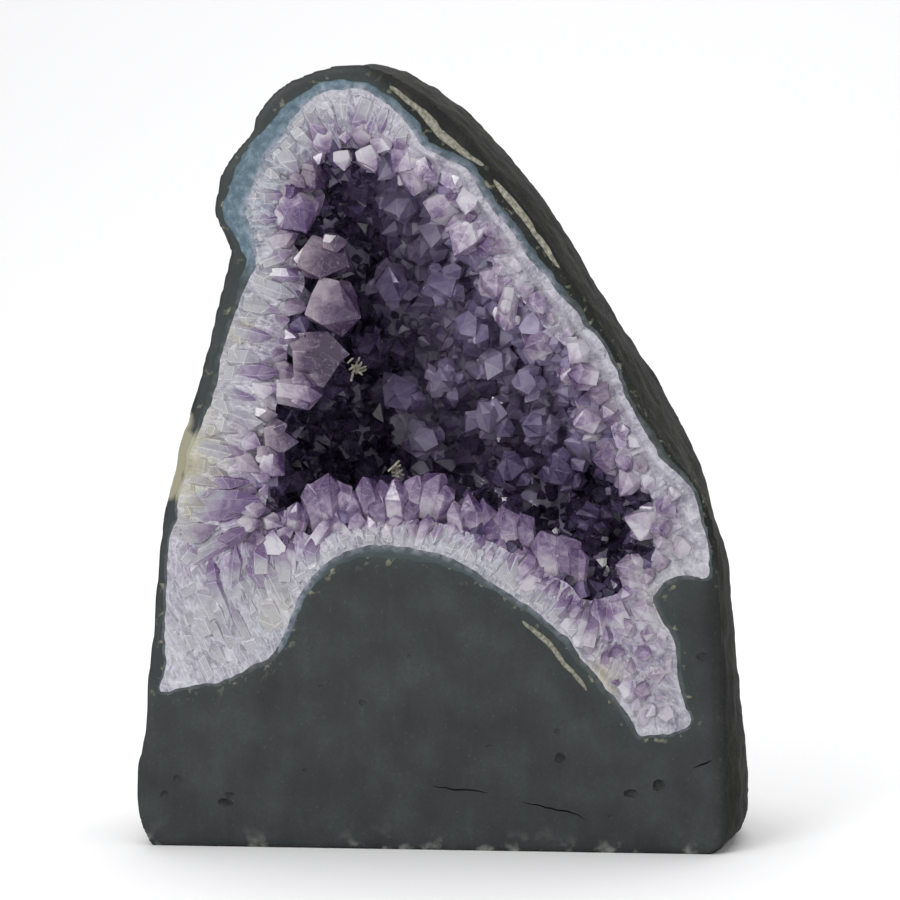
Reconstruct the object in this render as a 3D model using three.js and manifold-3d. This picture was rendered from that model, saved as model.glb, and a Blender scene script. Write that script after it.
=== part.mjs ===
// An amethyst cathedral geode: half of a basalt-cased nodule, sawn flat in front and underneath so that
// it stands up. From outside in it is a basalt shell, a thin agate rind, a layer of milky quartz and a
// lining of amethyst, with large amethyst crystals standing on that lining round the mouth and inside.
//
// Millimetres, +Z up, +X to the right of someone facing the sawn front, which looks along -Y. Outlines
// are [x, z] points on the sawn face, and depths run back from it. The group is moved at the end so that
// the origin is under the middle of the stone.

import * as THREE from "three";
import { mergeVertices } from "three/addons/utils/BufferGeometryUtils.js";
import Module from "manifold-3d";

const wasm = await Module();
wasm.setup();

// Driving dimensions
const BODY_DEPTH = 150; // from the sawn face to the furthest point of the back
const WIDEST_AT = 45; // depth at which the stone is widest
const JOINT_GAP = 0.35; // kept between neighbouring layers and crystals
const HOLLOW_DEPTH = 92; // from the sawn face to the amethyst at the back of the hollow
const LINING_DEPTH = 100; // to the back of the amethyst lining
const QUARTZ_DEPTH = 112; // to the back of the milky quartz
const RIND_DEPTH = 115; // to the back of the agate rind
const THINNEST_WALL = 3; // of the quartz and of the amethyst, wherever the hollow wanders
const HEART = [-16, 160]; // the point that the layers close in on, [x, z]
const LINING_LEAN = [-3, -2]; // how far the lining's far end has wandered to the side, [x, z]
const HOLLOW_LEAN = [-8, -6]; // how far the hollow's far end has
const TIP_SLOPE = 1.15; // height of a crystal's point over its radius
const TIP_GAP = 1.5; // how much further the gap reaches at a crystal's point than at its sides
const ROOT_TAPER = 0.94; // a crystal's radius at its root over its radius at the shoulder
const CRYSTAL_LENGTH = 60; // of each crystal before the lining trims it
const SEAM_DEPTH = 6; // how far the calcite seams run into the rock

// Edge of the sawn face, clockwise from the bottom left corner
const FACE_EDGE = [
  [-111, 0], [-115, 8], [-117, 19], [-116.5, 30], [-114, 40], [-112.5, 52], [-112.2, 65], [-111.2, 72],
  [-109.8, 84], [-108.7, 100], [-107.2, 115], [-105.2, 128], [-102, 140], [-98.8, 153], [-94.6, 166],
  [-91.4, 178], [-87.6, 193], [-85, 205], [-82, 216], [-79.5, 226], [-80.5, 230.5], [-84.3, 237],
  [-86, 242], [-85, 248], [-83.5, 255], [-80, 261], [-76, 266], [-71.5, 271], [-70, 277], [-67.5, 281],
  [-63, 286], [-57.5, 290], [-49, 293.5], [-40, 296], [-30, 296.5], [-20, 293], [-9, 286.5],
  [1, 278], [10, 268.5], [18.5, 258], [25.5, 249], [32.5, 240], [39.5, 230], [46.5, 219], [53, 208],
  [60, 198], [66, 188], [71, 178], [77.5, 165], [84.5, 153], [91.5, 145], [97.5, 137], [101, 129],
  [103.5, 118], [104.5, 108], [104.5, 98], [105, 80], [105.5, 60], [106.5, 40], [107.5, 20], [107.5, 10],
  [105.5, 4], [101, 0], [50, 0], [0, 0], [-50, 0],
];

// Outline of the stone where it is widest, point for point with the edge of the sawn face
const WIDEST = [
  [-115, 0], [-119.5, 8], [-121, 19], [-120.5, 30], [-118.5, 40], [-117, 52], [-116.5, 65], [-115.5, 72],
  [-113.5, 84], [-112, 100], [-110.5, 115], [-108.5, 128], [-105.5, 140], [-102, 153], [-98, 166],
  [-95, 178], [-91.5, 193], [-88.5, 205], [-85.5, 216], [-83, 226], [-84, 231], [-87, 237],
  [-88, 242], [-87.5, 248], [-86, 255], [-82.5, 261.5], [-78.5, 267], [-74, 272], [-72, 278],
  [-69.5, 283], [-64.5, 289], [-58.5, 293], [-50, 296.5], [-40, 299], [-29, 300], [-17, 297.5],
  [-4.5, 291], [6, 283], [15.5, 273], [24, 262.5], [32, 253], [39, 244], [46, 234], [53, 222], [60, 210],
  [67, 198.5], [73, 188], [78, 178], [85, 165], [91.5, 153], [96.5, 143], [100, 134], [103, 126],
  [106, 116], [108, 107], [109, 97], [110.8, 80], [113, 60], [115, 40], [116.5, 22], [117, 11],
  [115.5, 5], [108, 0], [54, 0], [0, 0], [-54, 0],
];

// Outer edge of the agate rind on the sawn face, with the rind's thickness there: [x, z, thickness]
const RIND_EDGE = [
  [-108.5, 58.5, 1], [-107, 66, 1], [-107, 76, 1], [-107, 88, 1], [-106.3, 100, 1],
  [-105.2, 112, 1], [-103.3, 124, 1], [-100.3, 136, 1], [-96.8, 150, 1], [-92.6, 163, 1.8],
  [-89.2, 175, 2.4], [-85.2, 188, 2], [-81.5, 201, 2], [-78, 212, 2.4], [-75, 222, 4],
  [-77, 229.5, 6], [-81.5, 235.5, 8], [-83, 242, 9.5], [-81.5, 250, 9.5], [-78, 258.5, 9],
  [-73, 266.5, 8], [-67, 272.5, 7], [-61.5, 279.5, 6], [-54.5, 285, 5], [-46, 290.3, 4], [-36, 291, 3.5],
  [-27, 289, 3.2], [-17, 283.5, 3.2], [-8.5, 276, 3.5], [-3, 268, 3.5], [5, 263, 3], [12.5, 258.5, 3],
  [18, 250.5, 3.2], [26, 240, 3.2], [34, 229.5, 3], [41, 220.5, 2.6], [48, 210.5, 2.2], [56, 200, 1.6],
  [63, 191.5, 1.3], [68, 181, 1.3], [71.5, 171, 1.5], [79, 160.5, 2.6], [86.5, 149.5, 2.6],
  [93, 141, 1.5], [97.5, 134, 1.2], [99.8, 124, 1.2], [101.8, 114, 1.2], [102.2, 104.2, 1.5],
  [92.5, 103.2, 2], [85.5, 100.2, 2.4], [82, 95.5, 2.4], [86, 88.5, 2.4], [90, 81.5, 2], [91.2, 70, 1.6],
  [92.5, 59, 1.4], [96, 51.5, 1.2], [92.5, 46.5, 1.2], [84, 43.8, 1.2], [74, 43, 1.6], [68.5, 51.5, 2.4],
  [60.5, 59.8, 2.4], [54.5, 68.5, 2.4], [47, 77.5, 2.4], [38, 86, 2.4], [27, 93.5, 2.2], [16, 100.5, 2.6],
  [5, 106.5, 3.4], [-8, 110, 4.4], [-20, 111.2, 4.8], [-32, 110.5, 4.2], [-43, 104.8, 3],
  [-50, 98.3, 2.4], [-55, 88, 2.4], [-58.5, 79.5, 2.2], [-64, 71.5, 2], [-75, 65.2, 1.8],
  [-86.5, 61, 1.4], [-98, 58.8, 1.2],
];

// Where the milky quartz turns to amethyst on the sawn face
const AMETHYST_EDGE = [
  [-75, 112], [-77, 124], [-76, 138], [-75, 150], [-73, 162], [-70, 174], [-68, 186], [-66, 197],
  [-63, 208], [-62, 220], [-65, 231], [-68, 241], [-65, 251], [-58, 260], [-50, 268], [-40, 273],
  [-29, 274], [-18, 271], [-6, 264], [6, 255.5], [15, 246], [22, 236], [29, 225], [37, 214],
  [45, 203.5], [53, 193], [60, 182], [65, 171], [71, 160], [78, 149], [84, 140], [89, 130], [91, 118],
  [89, 108], [80, 105], [77, 94], [78, 80], [74, 68], [66, 69], [58, 78], [49, 88], [39, 97.5], [27, 105.5],
  [13, 113], [0, 117.5], [-14, 119.5], [-28, 119.5], [-42, 116], [-55, 110], [-66, 106.5],
];

// Mouth of the hollow on the sawn face, between the roots of the crystals that stand round it
const MOUTH = [
  [-65, 124], [-68, 136], [-67, 149], [-65, 161], [-62, 172], [-60, 182], [-58, 192], [-55.5, 202],
  [-53, 213], [-54, 224], [-58.5, 233], [-60.5, 242], [-56, 251], [-49, 259], [-40, 264.5],
  [-29, 265.5], [-18, 262.5], [-8, 257], [1, 249.5], [9, 240], [16, 229], [23.5, 217], [31, 207],
  [39, 198], [48, 188.5], [55, 178], [60, 167], [65, 156], [71, 146.5], [77, 138], [81, 127],
  [81, 116], [76, 105], [66, 97], [55, 95.5], [47, 102], [38, 108], [27, 113.5], [14, 119.5],
  [1, 123.5], [-13, 125.5], [-27, 125.5], [-41, 123.5], [-54, 119.5],
];

// Size of a closed surface's ring at a share of its depth, over its size at the mouth
const roundBack = (share) => (1 - share ** 2.4) ** (1 / 2.2);
const bowlBack = (share) => (1 - share ** 2) ** (1 / 1.9);
const LAYER_SHARES = [0.16, 0.34, 0.52, 0.68, 0.82, 0.93, 0.985];
const BACK_SHARES = [0.22, 0.42, 0.6, 0.76, 0.88, 0.96, 0.99];
const CUT_AWAY = 12; // how far the cutting solids reach in front of the sawn face
const SAW_REACH = 1000; // more than the stone in every direction
const SHOULDER = [[0, 0], [3, 0.27], [12, 0.64], [27, 0.92], [WIDEST_AT, 1]]; // depth, share of the swelling
const WEAR_PASSES = 4; // how much the outline's bumps are worn down from one back ring to the next
const LUMP = 0.014; // height of the back's lumps over its own radius
const LUMP_SPAN = 22; // a lump is about three times this across
const LUMP_DRIFT = [-7, 5]; // how far the lumps drift from ring to ring, along x and z, in radians

const STONES = {
  basalt: { color: 0x3d4341, roughness: 0.78, metalness: 0 },
  calcite: { color: 0xb9b7a2, roughness: 0.6, metalness: 0 },
  agate: { color: 0x6d8595, roughness: 0.3, metalness: 0 },
  quartz: { color: 0xc9c6d2, roughness: 0.3, metalness: 0 },
  lining: { color: 0x8a749c, roughness: 0.25, metalness: 0 },
  amethyst: { color: 0x5d4470, roughness: 0.15, metalness: 0 },
};

function solidOf(geometry) {
  const bare = geometry.clone();
  bare.deleteAttribute("normal");
  bare.deleteAttribute("uv");
  const merged = mergeVertices(bare, 1e-4);
  const mesh = new wasm.Mesh({
    numProp: 3,
    vertProperties: new Float32Array(merged.attributes.position.array),
    triVerts: new Uint32Array(merged.index.array),
  });
  return new wasm.Manifold(mesh);
}

function geometryOf(solid) {
  const mesh = solid.getMesh();
  const geometry = new THREE.BufferGeometry();
  geometry.setAttribute("position", new THREE.BufferAttribute(mesh.vertProperties, 3));
  geometry.setIndex(new THREE.BufferAttribute(mesh.triVerts, 1));
  geometry.computeVertexNormals();
  return geometry;
}

// A closed skin through rings of equal length, capped flat at both ends.
// A ring is { y, points: [[x, z], ...] }.
function skin(rings) {
  const count = rings[0].points.length;
  const positions = rings.flatMap(({ y, points }) => points.flatMap(([x, z]) => [x, y, z]));
  const cap = (ring) => {
    const corners = rings[ring].points.map(([x, z]) => new THREE.Vector2(x, z));
    return THREE.ShapeUtils.triangulateShape(corners, []).map((face) => face.map((i) => ring * count + i));
  };
  const index = cap(0).flat();
  index.push(...cap(rings.length - 1).flatMap(([a, b, c]) => [a, c, b]));
  for (let i = 0; i < count; i++) {
    const next = (i + 1) % count;
    for (let ring = 0; ring < (rings.length - 1) * count; ring += count) {
      index.push(ring + i, ring + next, ring + count + i);
      index.push(ring + next, ring + count + next, ring + count + i);
    }
  }
  const geometry = new THREE.BufferGeometry();
  geometry.setAttribute("position", new THREE.Float32BufferAttribute(positions, 3));
  geometry.setIndex(index);
  return solidOf(geometry);
}

const shrunk = (points, centre, share) =>
  points.map(([x, z]) => [centre[0] + share * (x - centre[0]), centre[1] + share * (z - centre[1])]);

// The outline moved inwards by a distance, or by each point's own third number
function inset(outline, distance) {
  return outline.map(([x, z, thickness], i) => {
    const before = outline.at(i - 1);
    const after = outline[(i + 1) % outline.length];
    const along = new THREE.Vector2(after[0] - before[0], after[1] - before[1]).normalize();
    const step = distance ?? thickness;
    return [x + along.y * step, z - along.x * step, thickness];
  });
}

// Everything inside one layer boundary: the outline on the sawn face, closing in on the heart with depth
// and ending in a small flat. lean is how far the far end has wandered to the side, [x, z], and gap is
// how much smaller the solid is than the boundary where it meets the sawn face.
function core(outline, depth, { close = roundBack, lean = [0, 0], gap = 0 } = {}) {
  const mouth = inset(outline, gap);
  const ring = (share, y = share * depth) => {
    const points = shrunk(mouth, HEART, close(share));
    return { y, points: points.map(([x, z]) => [x + lean[0] * share, z + lean[1] * share]) };
  };
  const behind = LAYER_SHARES.map((share) => ring(share));
  return skin([ring(0, -CUT_AWAY), ring(0), ...behind, ring(LAYER_SHARES.at(-1), depth - gap)]);
}

// The outline with its bumps worn down, while the part that rests on the base stays flat
const worn = (points) => points.map(([x, z], i) => {
  if (z === 0) return [x, z];
  const before = points.at(i - 1);
  const after = points[(i + 1) % points.length];
  return [(before[0] + 2 * x + after[0]) / 4, (before[1] + 2 * z + after[1]) / 4];
});

// The outside of the stone: sawn face, shoulders that swell to the widest outline, and a lumpy round back
function outside() {
  const rings = SHOULDER.map(([y, share]) => ({
    y,
    points: FACE_EDGE.map(([x, z], i) => [
      THREE.MathUtils.lerp(x, WIDEST[i][0], share),
      THREE.MathUtils.lerp(z, WIDEST[i][1], share),
    ]),
  }));
  let outline = WIDEST;
  for (const share of BACK_SHARES) {
    for (let pass = 0; pass < WEAR_PASSES; pass++) {
      outline = worn(outline);
    }
    const wave = (place, drift) => Math.sin(place / LUMP_SPAN + drift * share);
    const points = shrunk(outline, [0, 0], roundBack(share)).map(([x, z]) => {
      const lump = 1 + LUMP * (wave(x, LUMP_DRIFT[0]) + wave(z, LUMP_DRIFT[1]));
      return [x * lump, z * lump];
    });
    rings.push({ y: WIDEST_AT + share * (BODY_DEPTH - WIDEST_AT), points });
  }
  return skin(rings);
}

// A slab behind the sawn face: what is in front of it has been sawn away
function behindFace() {
  const slab = new THREE.BoxGeometry(SAW_REACH, SAW_REACH, SAW_REACH);
  slab.translate(0, SAW_REACH / 2, 0);
  return solidOf(slab);
}

// A six-sided crystal that ends in a point at tip, points along dir and tapers a little towards its
// root. grow makes it larger all round.
function crystal({ tip, dir, radius, turn }, grow = 0) {
  const wide = radius + grow;
  const profile = [
    [0, -CRYSTAL_LENGTH],
    [wide * ROOT_TAPER, -CRYSTAL_LENGTH],
    [wide, -radius * TIP_SLOPE],
    [0, grow * TIP_GAP],
  ];
  const shape = new THREE.LatheGeometry(profile.map(([r, y]) => new THREE.Vector2(r, y)), 6);
  shape.rotateY(turn);
  const up = new THREE.Vector3(0, 1, 0);
  shape.applyQuaternion(new THREE.Quaternion().setFromUnitVectors(up, new THREE.Vector3(...dir).normalize()));
  shape.translate(...tip);
  return solidOf(shape);
}

// Crystals round the mouth, clockwise from the bottom left: where the point is, [x, depth, z], which way
// it points, its radius, and its turn about its own axis in radians
const RIM_CRYSTALS = {
  left: [
    { tip: [-59, 4, 144], dir: [1, -0.05, -0.35], radius: 6, turn: 0.2 },
    { tip: [-54, 4, 156.5], dir: [1, 0, 0], radius: 6.5, turn: 0.5 },
    { tip: [-45, 3, 171.5], dir: [1, -0.05, -0.12], radius: 6, turn: 0.1 },
    { tip: [-35.5, 6, 186], dir: [1, -0.1, -0.1], radius: 10.5, turn: 0.3 },
    { tip: [-30.5, 4, 201.5], dir: [1, -0.05, -0.4], radius: 9, turn: 0 },
    { tip: [-33.5, 5, 219], dir: [1, -0.05, -0.5], radius: 9, turn: 0.35 },
    { tip: [-41.5, 3, 240], dir: [1, -0.05, 0], radius: 8, turn: 0.5 },
    { tip: [-44, 8, 251.5], dir: [1, 0.1, -0.4], radius: 6, turn: 0.1 },
  ],
  top: [
    { tip: [-37, 3, 256.5], dir: [0.1, 0, -1], radius: 7, turn: 0.2 },
    { tip: [-25, 3, 256], dir: [0, -0.05, -1], radius: 7, turn: 0.5 },
  ],
  right: [
    { tip: [-13, 5, 249], dir: [-0.5, -0.4, -1], radius: 7, turn: 0.3 },
    { tip: [-4, 5, 238], dir: [-0.8, -0.6, -0.8], radius: 8, turn: 0 },
    { tip: [3, 5, 225], dir: [-0.9, -0.7, -0.7], radius: 8.5, turn: 0.4 },
    { tip: [17, 6, 209], dir: [-0.8, -0.7, -0.7], radius: 8.5, turn: 0.2 },
    { tip: [23, 4, 196], dir: [-0.2, -0.3, -1], radius: 5, turn: 0.1 },
    { tip: [31, 5, 191], dir: [-0.9, -0.9, -0.5], radius: 9, turn: 0.45 },
    { tip: [45, 6, 178], dir: [-0.8, -0.7, -0.6], radius: 7.5, turn: 0.15 },
    { tip: [49, 6, 161], dir: [-0.9, -0.7, -0.3], radius: 8, turn: 0.35 },
    { tip: [57, 5, 148], dir: [-0.9, -0.8, -0.3], radius: 8, turn: 0.1 },
    { tip: [65, 5, 137], dir: [-0.9, -0.6, -0.5], radius: 7, turn: 0.3 },
    { tip: [69, 4, 124], dir: [-1, -0.5, 0], radius: 7, turn: 0.5 },
    { tip: [65, 6, 110], dir: [-0.9, -0.3, 0.4], radius: 6, turn: 0.2 },
  ],
  bottom: [
    { tip: [49, 5, 116], dir: [-0.05, 0, 1], radius: 5, turn: 0.1 },
    { tip: [37, 3, 122.5], dir: [-0.1, 0, 1], radius: 8, turn: 0.5 },
    { tip: [23.5, 3, 131.5], dir: [0, -0.05, 1], radius: 6.5, turn: 0.25 },
    { tip: [11, 3, 136.5], dir: [0.05, -0.05, 1], radius: 7, turn: 0 },
    { tip: [-2.5, 3, 144.5], dir: [0.25, 0, 1], radius: 7, turn: 0.4 },
    { tip: [-18, 3, 140.5], dir: [0.1, -0.05, 1], radius: 6.5, turn: 0.1 },
    { tip: [-30, 3, 142.5], dir: [-0.05, 0, 1], radius: 6.5, turn: 0.35 },
    { tip: [-44.5, 3, 142.5], dir: [0, 0, 1], radius: 6.5, turn: 0.2 },
    { tip: [-55, 4, 132.5], dir: [0.2, 0, 1], radius: 5, turn: 0.5 },
  ],
};

// Crystals that stand on the back wall of the hollow and point out of it
const WALL_CRYSTALS = [
  { tip: [-18, 28, 238], dir: [0.1, -0.6, -0.7], radius: 9, turn: 0.2 },
  { tip: [-22, 40, 214], dir: [0.2, -1, -0.1], radius: 9, turn: 0.5 },
  { tip: [-6, 32, 212], dir: [-0.3, -1, -0.2], radius: 9.5, turn: 0.1 },
  { tip: [4, 28, 198], dir: [-0.5, -1, -0.1], radius: 8.5, turn: 0.35 },
  { tip: [-30, 48, 190], dir: [0.3, -1, 0], radius: 8, turn: 0.15 },
  { tip: [-20, 44, 172], dir: [0.1, -1, 0.1], radius: 8, turn: 0.4 },
  { tip: [-4, 42, 177], dir: [-0.1, -1, 0], radius: 8, turn: 0 },
  { tip: [14, 36, 184], dir: [-0.4, -1, 0], radius: 8, turn: 0.3 },
  { tip: [27, 26, 177], dir: [-0.5, -1, 0], radius: 7, turn: 0.5 },
  { tip: [12, 42, 164], dir: [-0.2, -1, 0.2], radius: 8.5, turn: 0.2 },
  { tip: [30, 32, 160], dir: [-0.5, -1, 0.1], radius: 8, turn: 0.05 },
  { tip: [-12, 46, 155], dir: [0, -1, 0.3], radius: 8, turn: 0.25 },
  { tip: [22, 38, 146], dir: [-0.2, -1, 0.5], radius: 8, turn: 0.45 },
  { tip: [40, 28, 144], dir: [-0.5, -0.9, 0.3], radius: 8, turn: 0.1 },
  { tip: [52, 22, 128], dir: [-0.5, -0.8, 0.4], radius: 7, turn: 0.3 },
];

// A thin seam of pale calcite along a path on the sawn face, running a little way into the rock. It
// reaches in front of the face, where the saw trims it.
function calciteSeam(path, widths, depth) {
  const side = (sign) => path.map(([x, z], i) => {
    const before = path[Math.max(i - 1, 0)];
    const after = path[Math.min(i + 1, path.length - 1)];
    const along = new THREE.Vector2(after[0] - before[0], after[1] - before[1]).normalize();
    return new THREE.Vector2(x - sign * along.y * widths[i] / 2, z + sign * along.x * widths[i] / 2);
  });
  const outline = new THREE.Shape([...side(1), ...side(-1).reverse()]);
  const slab = new THREE.ExtrudeGeometry(outline, { depth: depth + CUT_AWAY, bevelEnabled: false });
  slab.rotateX(Math.PI / 2); // the outline's second number becomes z, and the slab runs towards -Y
  slab.translate(0, depth, 0);
  return solidOf(slab);
}

// Calcite seams just outside the rind: their middle lines on the sawn face and their widths
const SEAMS = {
  calcite_seam_upper: {
    path: [[-18, 287.5], [-8, 279.5], [0, 271], [8, 263.5], [15, 258.8]],
    widths: [1.6, 2.4, 3.2, 2.6, 1.2],
  },
  calcite_seam_middle: {
    path: [[21, 252], [27, 244.5], [33.5, 236], [40, 227], [44, 221]],
    widths: [1.4, 2.6, 2.2, 2, 1],
  },
  calcite_seam_lower: {
    path: [[31, 87], [38, 81.5], [44.5, 75], [50, 68], [54, 62]],
    widths: [1, 2, 1.8, 1.8, 1],
  },
};

// The space inside each boundary, smaller all round by the gap. The hollow wanders down and to the left
// as it goes back, so each space is also kept inside the one round it by the thinnest wall allowed.
const rindEdge = RIND_EDGE.map(([x, z]) => [x, z]);
const quartzEdge = inset(RIND_EDGE);
const rindSpace = (gap) => core(rindEdge, RIND_DEPTH, { gap });
const quartzSpace = (gap, wall = 0) => core(inset(quartzEdge, wall), QUARTZ_DEPTH, { gap });
const liningBowl = (gap, wall = 0) =>
  core(inset(AMETHYST_EDGE, wall), LINING_DEPTH, { close: bowlBack, lean: LINING_LEAN, gap });
const hollowBowl = (gap) => core(MOUTH, HOLLOW_DEPTH, { close: bowlBack, lean: HOLLOW_LEAN, gap });
const liningSpace = (gap) => liningBowl(gap).intersect(quartzSpace(gap, THINNEST_WALL));
const hollowSpace = (gap) => hollowBowl(gap)
  .intersect(liningBowl(gap, THINNEST_WALL))
  .intersect(quartzSpace(gap, THINNEST_WALL));

const sawn = behindFace();
const layer = (outer, inner) => outer.intersect(sawn).subtract(inner);
const rind = layer(rindSpace(JOINT_GAP), quartzSpace(0));
const quartz = layer(quartzSpace(JOINT_GAP), liningSpace(0));
const lining = layer(liningSpace(JOINT_GAP), hollowSpace(0));
const hollow = hollowSpace(JOINT_GAP).intersect(sawn);

const solids = new Map();
let basalt = outside().subtract(rindSpace(0));
for (const [name, { path, widths }] of Object.entries(SEAMS)) {
  const slot = calciteSeam(path, widths.map((width) => width + 2 * JOINT_GAP), SEAM_DEPTH + JOINT_GAP);
  basalt = basalt.subtract(slot);
  solids.set(name, [calciteSeam(path, widths, SEAM_DEPTH).intersect(sawn), "calcite"]);
}
solids.set("basalt_shell", [basalt, "basalt"]);
solids.set("agate_rind", [rind, "agate"]);
solids.set("quartz_layer", [quartz, "quartz"]);
solids.set("amethyst_lining", [lining, "lining"]);

// Each crystal is trimmed by the lining it stands on, by the saw, and by the crystals set before it.
// Where that leaves more than one piece, the crystal is the largest of them.
let taken = null;
function setCrystal(name, shape) {
  let grown = crystal(shape).intersect(hollow);
  if (taken) grown = grown.subtract(taken);
  const pieces = grown.decompose().sort((a, b) => b.volume() - a.volume());
  solids.set(name, [pieces[0], "amethyst"]);
  const room = crystal(shape, JOINT_GAP);
  taken = taken ? taken.add(room) : room;
}
for (const [side, shapes] of Object.entries(RIM_CRYSTALS)) {
  shapes.forEach((shape, i) => setCrystal(`rim_crystal_${side}_${i + 1}`, shape));
}
WALL_CRYSTALS.forEach((shape, i) => setCrystal(`wall_crystal_${i + 1}`, shape));

const geode = new THREE.Group();
for (const [name, [solid, stone]] of solids) {
  const mesh = new THREE.Mesh(geometryOf(solid), new THREE.MeshStandardMaterial(STONES[stone]));
  mesh.name = name;
  geode.add(mesh);
}

// The origin goes under the middle of the stone's box
const box = new THREE.Box3().setFromObject(geode);
const middle = box.getCenter(new THREE.Vector3());
geode.position.set(-middle.x, -middle.y, -box.min.z);

export default geode;
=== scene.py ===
import math

import bmesh
import bpy
import numpy as np
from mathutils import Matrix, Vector, geometry


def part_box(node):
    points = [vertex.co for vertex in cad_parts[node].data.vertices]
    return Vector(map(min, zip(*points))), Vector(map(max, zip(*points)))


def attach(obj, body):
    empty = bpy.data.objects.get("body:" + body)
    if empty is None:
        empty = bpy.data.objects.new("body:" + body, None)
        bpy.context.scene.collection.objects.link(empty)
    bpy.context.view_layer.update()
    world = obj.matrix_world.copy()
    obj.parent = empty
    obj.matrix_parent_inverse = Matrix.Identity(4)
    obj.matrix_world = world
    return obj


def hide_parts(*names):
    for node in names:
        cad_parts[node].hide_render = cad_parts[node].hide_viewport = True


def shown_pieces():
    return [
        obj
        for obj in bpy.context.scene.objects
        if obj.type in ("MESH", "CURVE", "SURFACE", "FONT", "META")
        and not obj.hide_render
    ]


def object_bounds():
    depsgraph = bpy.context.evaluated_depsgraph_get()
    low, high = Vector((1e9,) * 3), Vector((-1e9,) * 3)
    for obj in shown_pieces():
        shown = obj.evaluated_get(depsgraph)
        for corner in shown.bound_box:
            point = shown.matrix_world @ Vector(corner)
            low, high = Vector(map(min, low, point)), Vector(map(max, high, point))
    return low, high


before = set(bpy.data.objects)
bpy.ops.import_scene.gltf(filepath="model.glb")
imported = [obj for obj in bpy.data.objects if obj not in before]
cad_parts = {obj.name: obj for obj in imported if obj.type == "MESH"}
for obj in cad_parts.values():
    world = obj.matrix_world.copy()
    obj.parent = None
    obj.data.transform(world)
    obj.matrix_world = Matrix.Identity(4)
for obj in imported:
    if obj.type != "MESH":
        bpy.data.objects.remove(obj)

mm = 0.001
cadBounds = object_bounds()
faceY = cadBounds[0].y  # the sawn face
rough = 1.0


# ---- small helpers

def smoothStep(low, high, value):
    t = np.clip((value - low) / (high - low), 0, 1)
    return t * t * (3 - 2 * t)


def between(limits, share):
    return limits[0] + (limits[1] - limits[0]) * share


def unit(vector):
    return vector / np.linalg.norm(vector)


def latticeValue(cell, seed):
    # one repeatable number from 0 to 1 for each whole-number corner
    n = (cell[..., 0] * 73856093) ^ (cell[..., 1] * 19349663) ^ (cell[..., 2] * 83492791) ^ (seed * 2654435)
    n = (n ^ (n >> 13)) * 1274126177
    return ((n ^ (n >> 16)) & 0xFFFFF) / 0xFFFFF


def cloud(points, size, seed=0):
    # smooth noise from -1 to 1 with bumps about size across; points are n by 3, in the same unit as size
    scaled = points / size + 100.0
    base = np.floor(scaled).astype(np.int64)
    part = scaled - base
    part = part * part * (3 - 2 * part)
    total = np.zeros(len(points))
    for corner in np.ndindex(2, 2, 2):
        weight = np.prod(np.where(corner, part, 1 - part), axis=1)
        total += weight * latticeValue(base + corner, seed)
    return total * 2 - 1


def flatToSpace(flat, y=0.0):
    # x and z pairs as points on a plane of constant y
    return np.column_stack([flat[:, 0], np.full(len(flat), y), flat[:, 1]])


def makePiece(name, points, faces, body="root", stands=(), attributes=None, smooth=False):
    # a mesh piece in metres from points in metres, riding on its body and standing for CAD nodes
    mesh = bpy.data.meshes.new(name)
    mesh.from_pydata([tuple(p) for p in points], [], [tuple(f) for f in faces])
    for key, values in (attributes or {}).items():
        made = mesh.attributes.new(key, "FLOAT_VECTOR" if values.ndim > 1 else "FLOAT", "POINT")
        made.data.foreach_set("vector" if values.ndim > 1 else "value", values.astype(np.float32).ravel())
    mesh.polygons.foreach_set("use_smooth", [smooth] * len(mesh.polygons))
    mesh.update()
    piece = bpy.data.objects.new(name, mesh)
    bpy.context.scene.collection.objects.link(piece)
    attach(piece, body)
    if stands:
        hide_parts(*stands)
    return piece


def meshPoints(mesh):
    co = np.empty(len(mesh.vertices) * 3)
    mesh.vertices.foreach_get("co", co)
    return co.reshape(-1, 3)


def setPoints(mesh, co):
    mesh.vertices.foreach_set("co", co.astype(np.float32).ravel())
    mesh.update()


def tidyNormals(mesh):
    # every closed shell's faces turned outward
    work = bmesh.new()
    work.from_mesh(mesh)
    bmesh.ops.recalc_face_normals(work, faces=work.faces)
    work.to_mesh(mesh)
    work.free()


def bakeModifiers(piece):
    # the piece's modifiers become its mesh
    graph = bpy.context.evaluated_depsgraph_get()
    done = bpy.data.meshes.new_from_object(piece.evaluated_get(graph), depsgraph=graph)
    piece.modifiers.clear()
    piece.data = done
    return piece


# ---- outlines, read where the CAD layers meet the sawn face

def faceLoops(node):
    # closed outlines of a node on the sawn face, longest first, as x and z in mm
    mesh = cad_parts[node].data
    co = meshPoints(mesh)
    _, first, weld = np.unique(np.round(co / (0.02 * mm)), axis=0, return_index=True, return_inverse=True)
    weld = weld.ravel()
    flat = np.abs(co[:, 1] - faceY) < 0.03 * mm
    edges = set()
    for poly in mesh.polygons:
        ring = list(poly.vertices)
        if all(flat[v] for v in ring):
            edges.update((weld[a], weld[b]) for a, b in zip(ring, ring[1:] + ring[:1]))
    follow = {a: b for a, b in edges if (b, a) not in edges}
    loops = []
    while follow:
        start, step = follow.popitem()
        loop = [start]
        while step != start:
            loop.append(step)
            step = follow.pop(step)
        loops.append(co[first[loop]][:, [0, 2]] / mm)
    return sorted(loops, key=lambda loop: -np.ptp(loop, axis=0).sum())


def area(loop):
    x, z = loop.T
    return 0.5 * np.sum(x * np.roll(z, -1) - np.roll(x, -1) * z)


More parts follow.
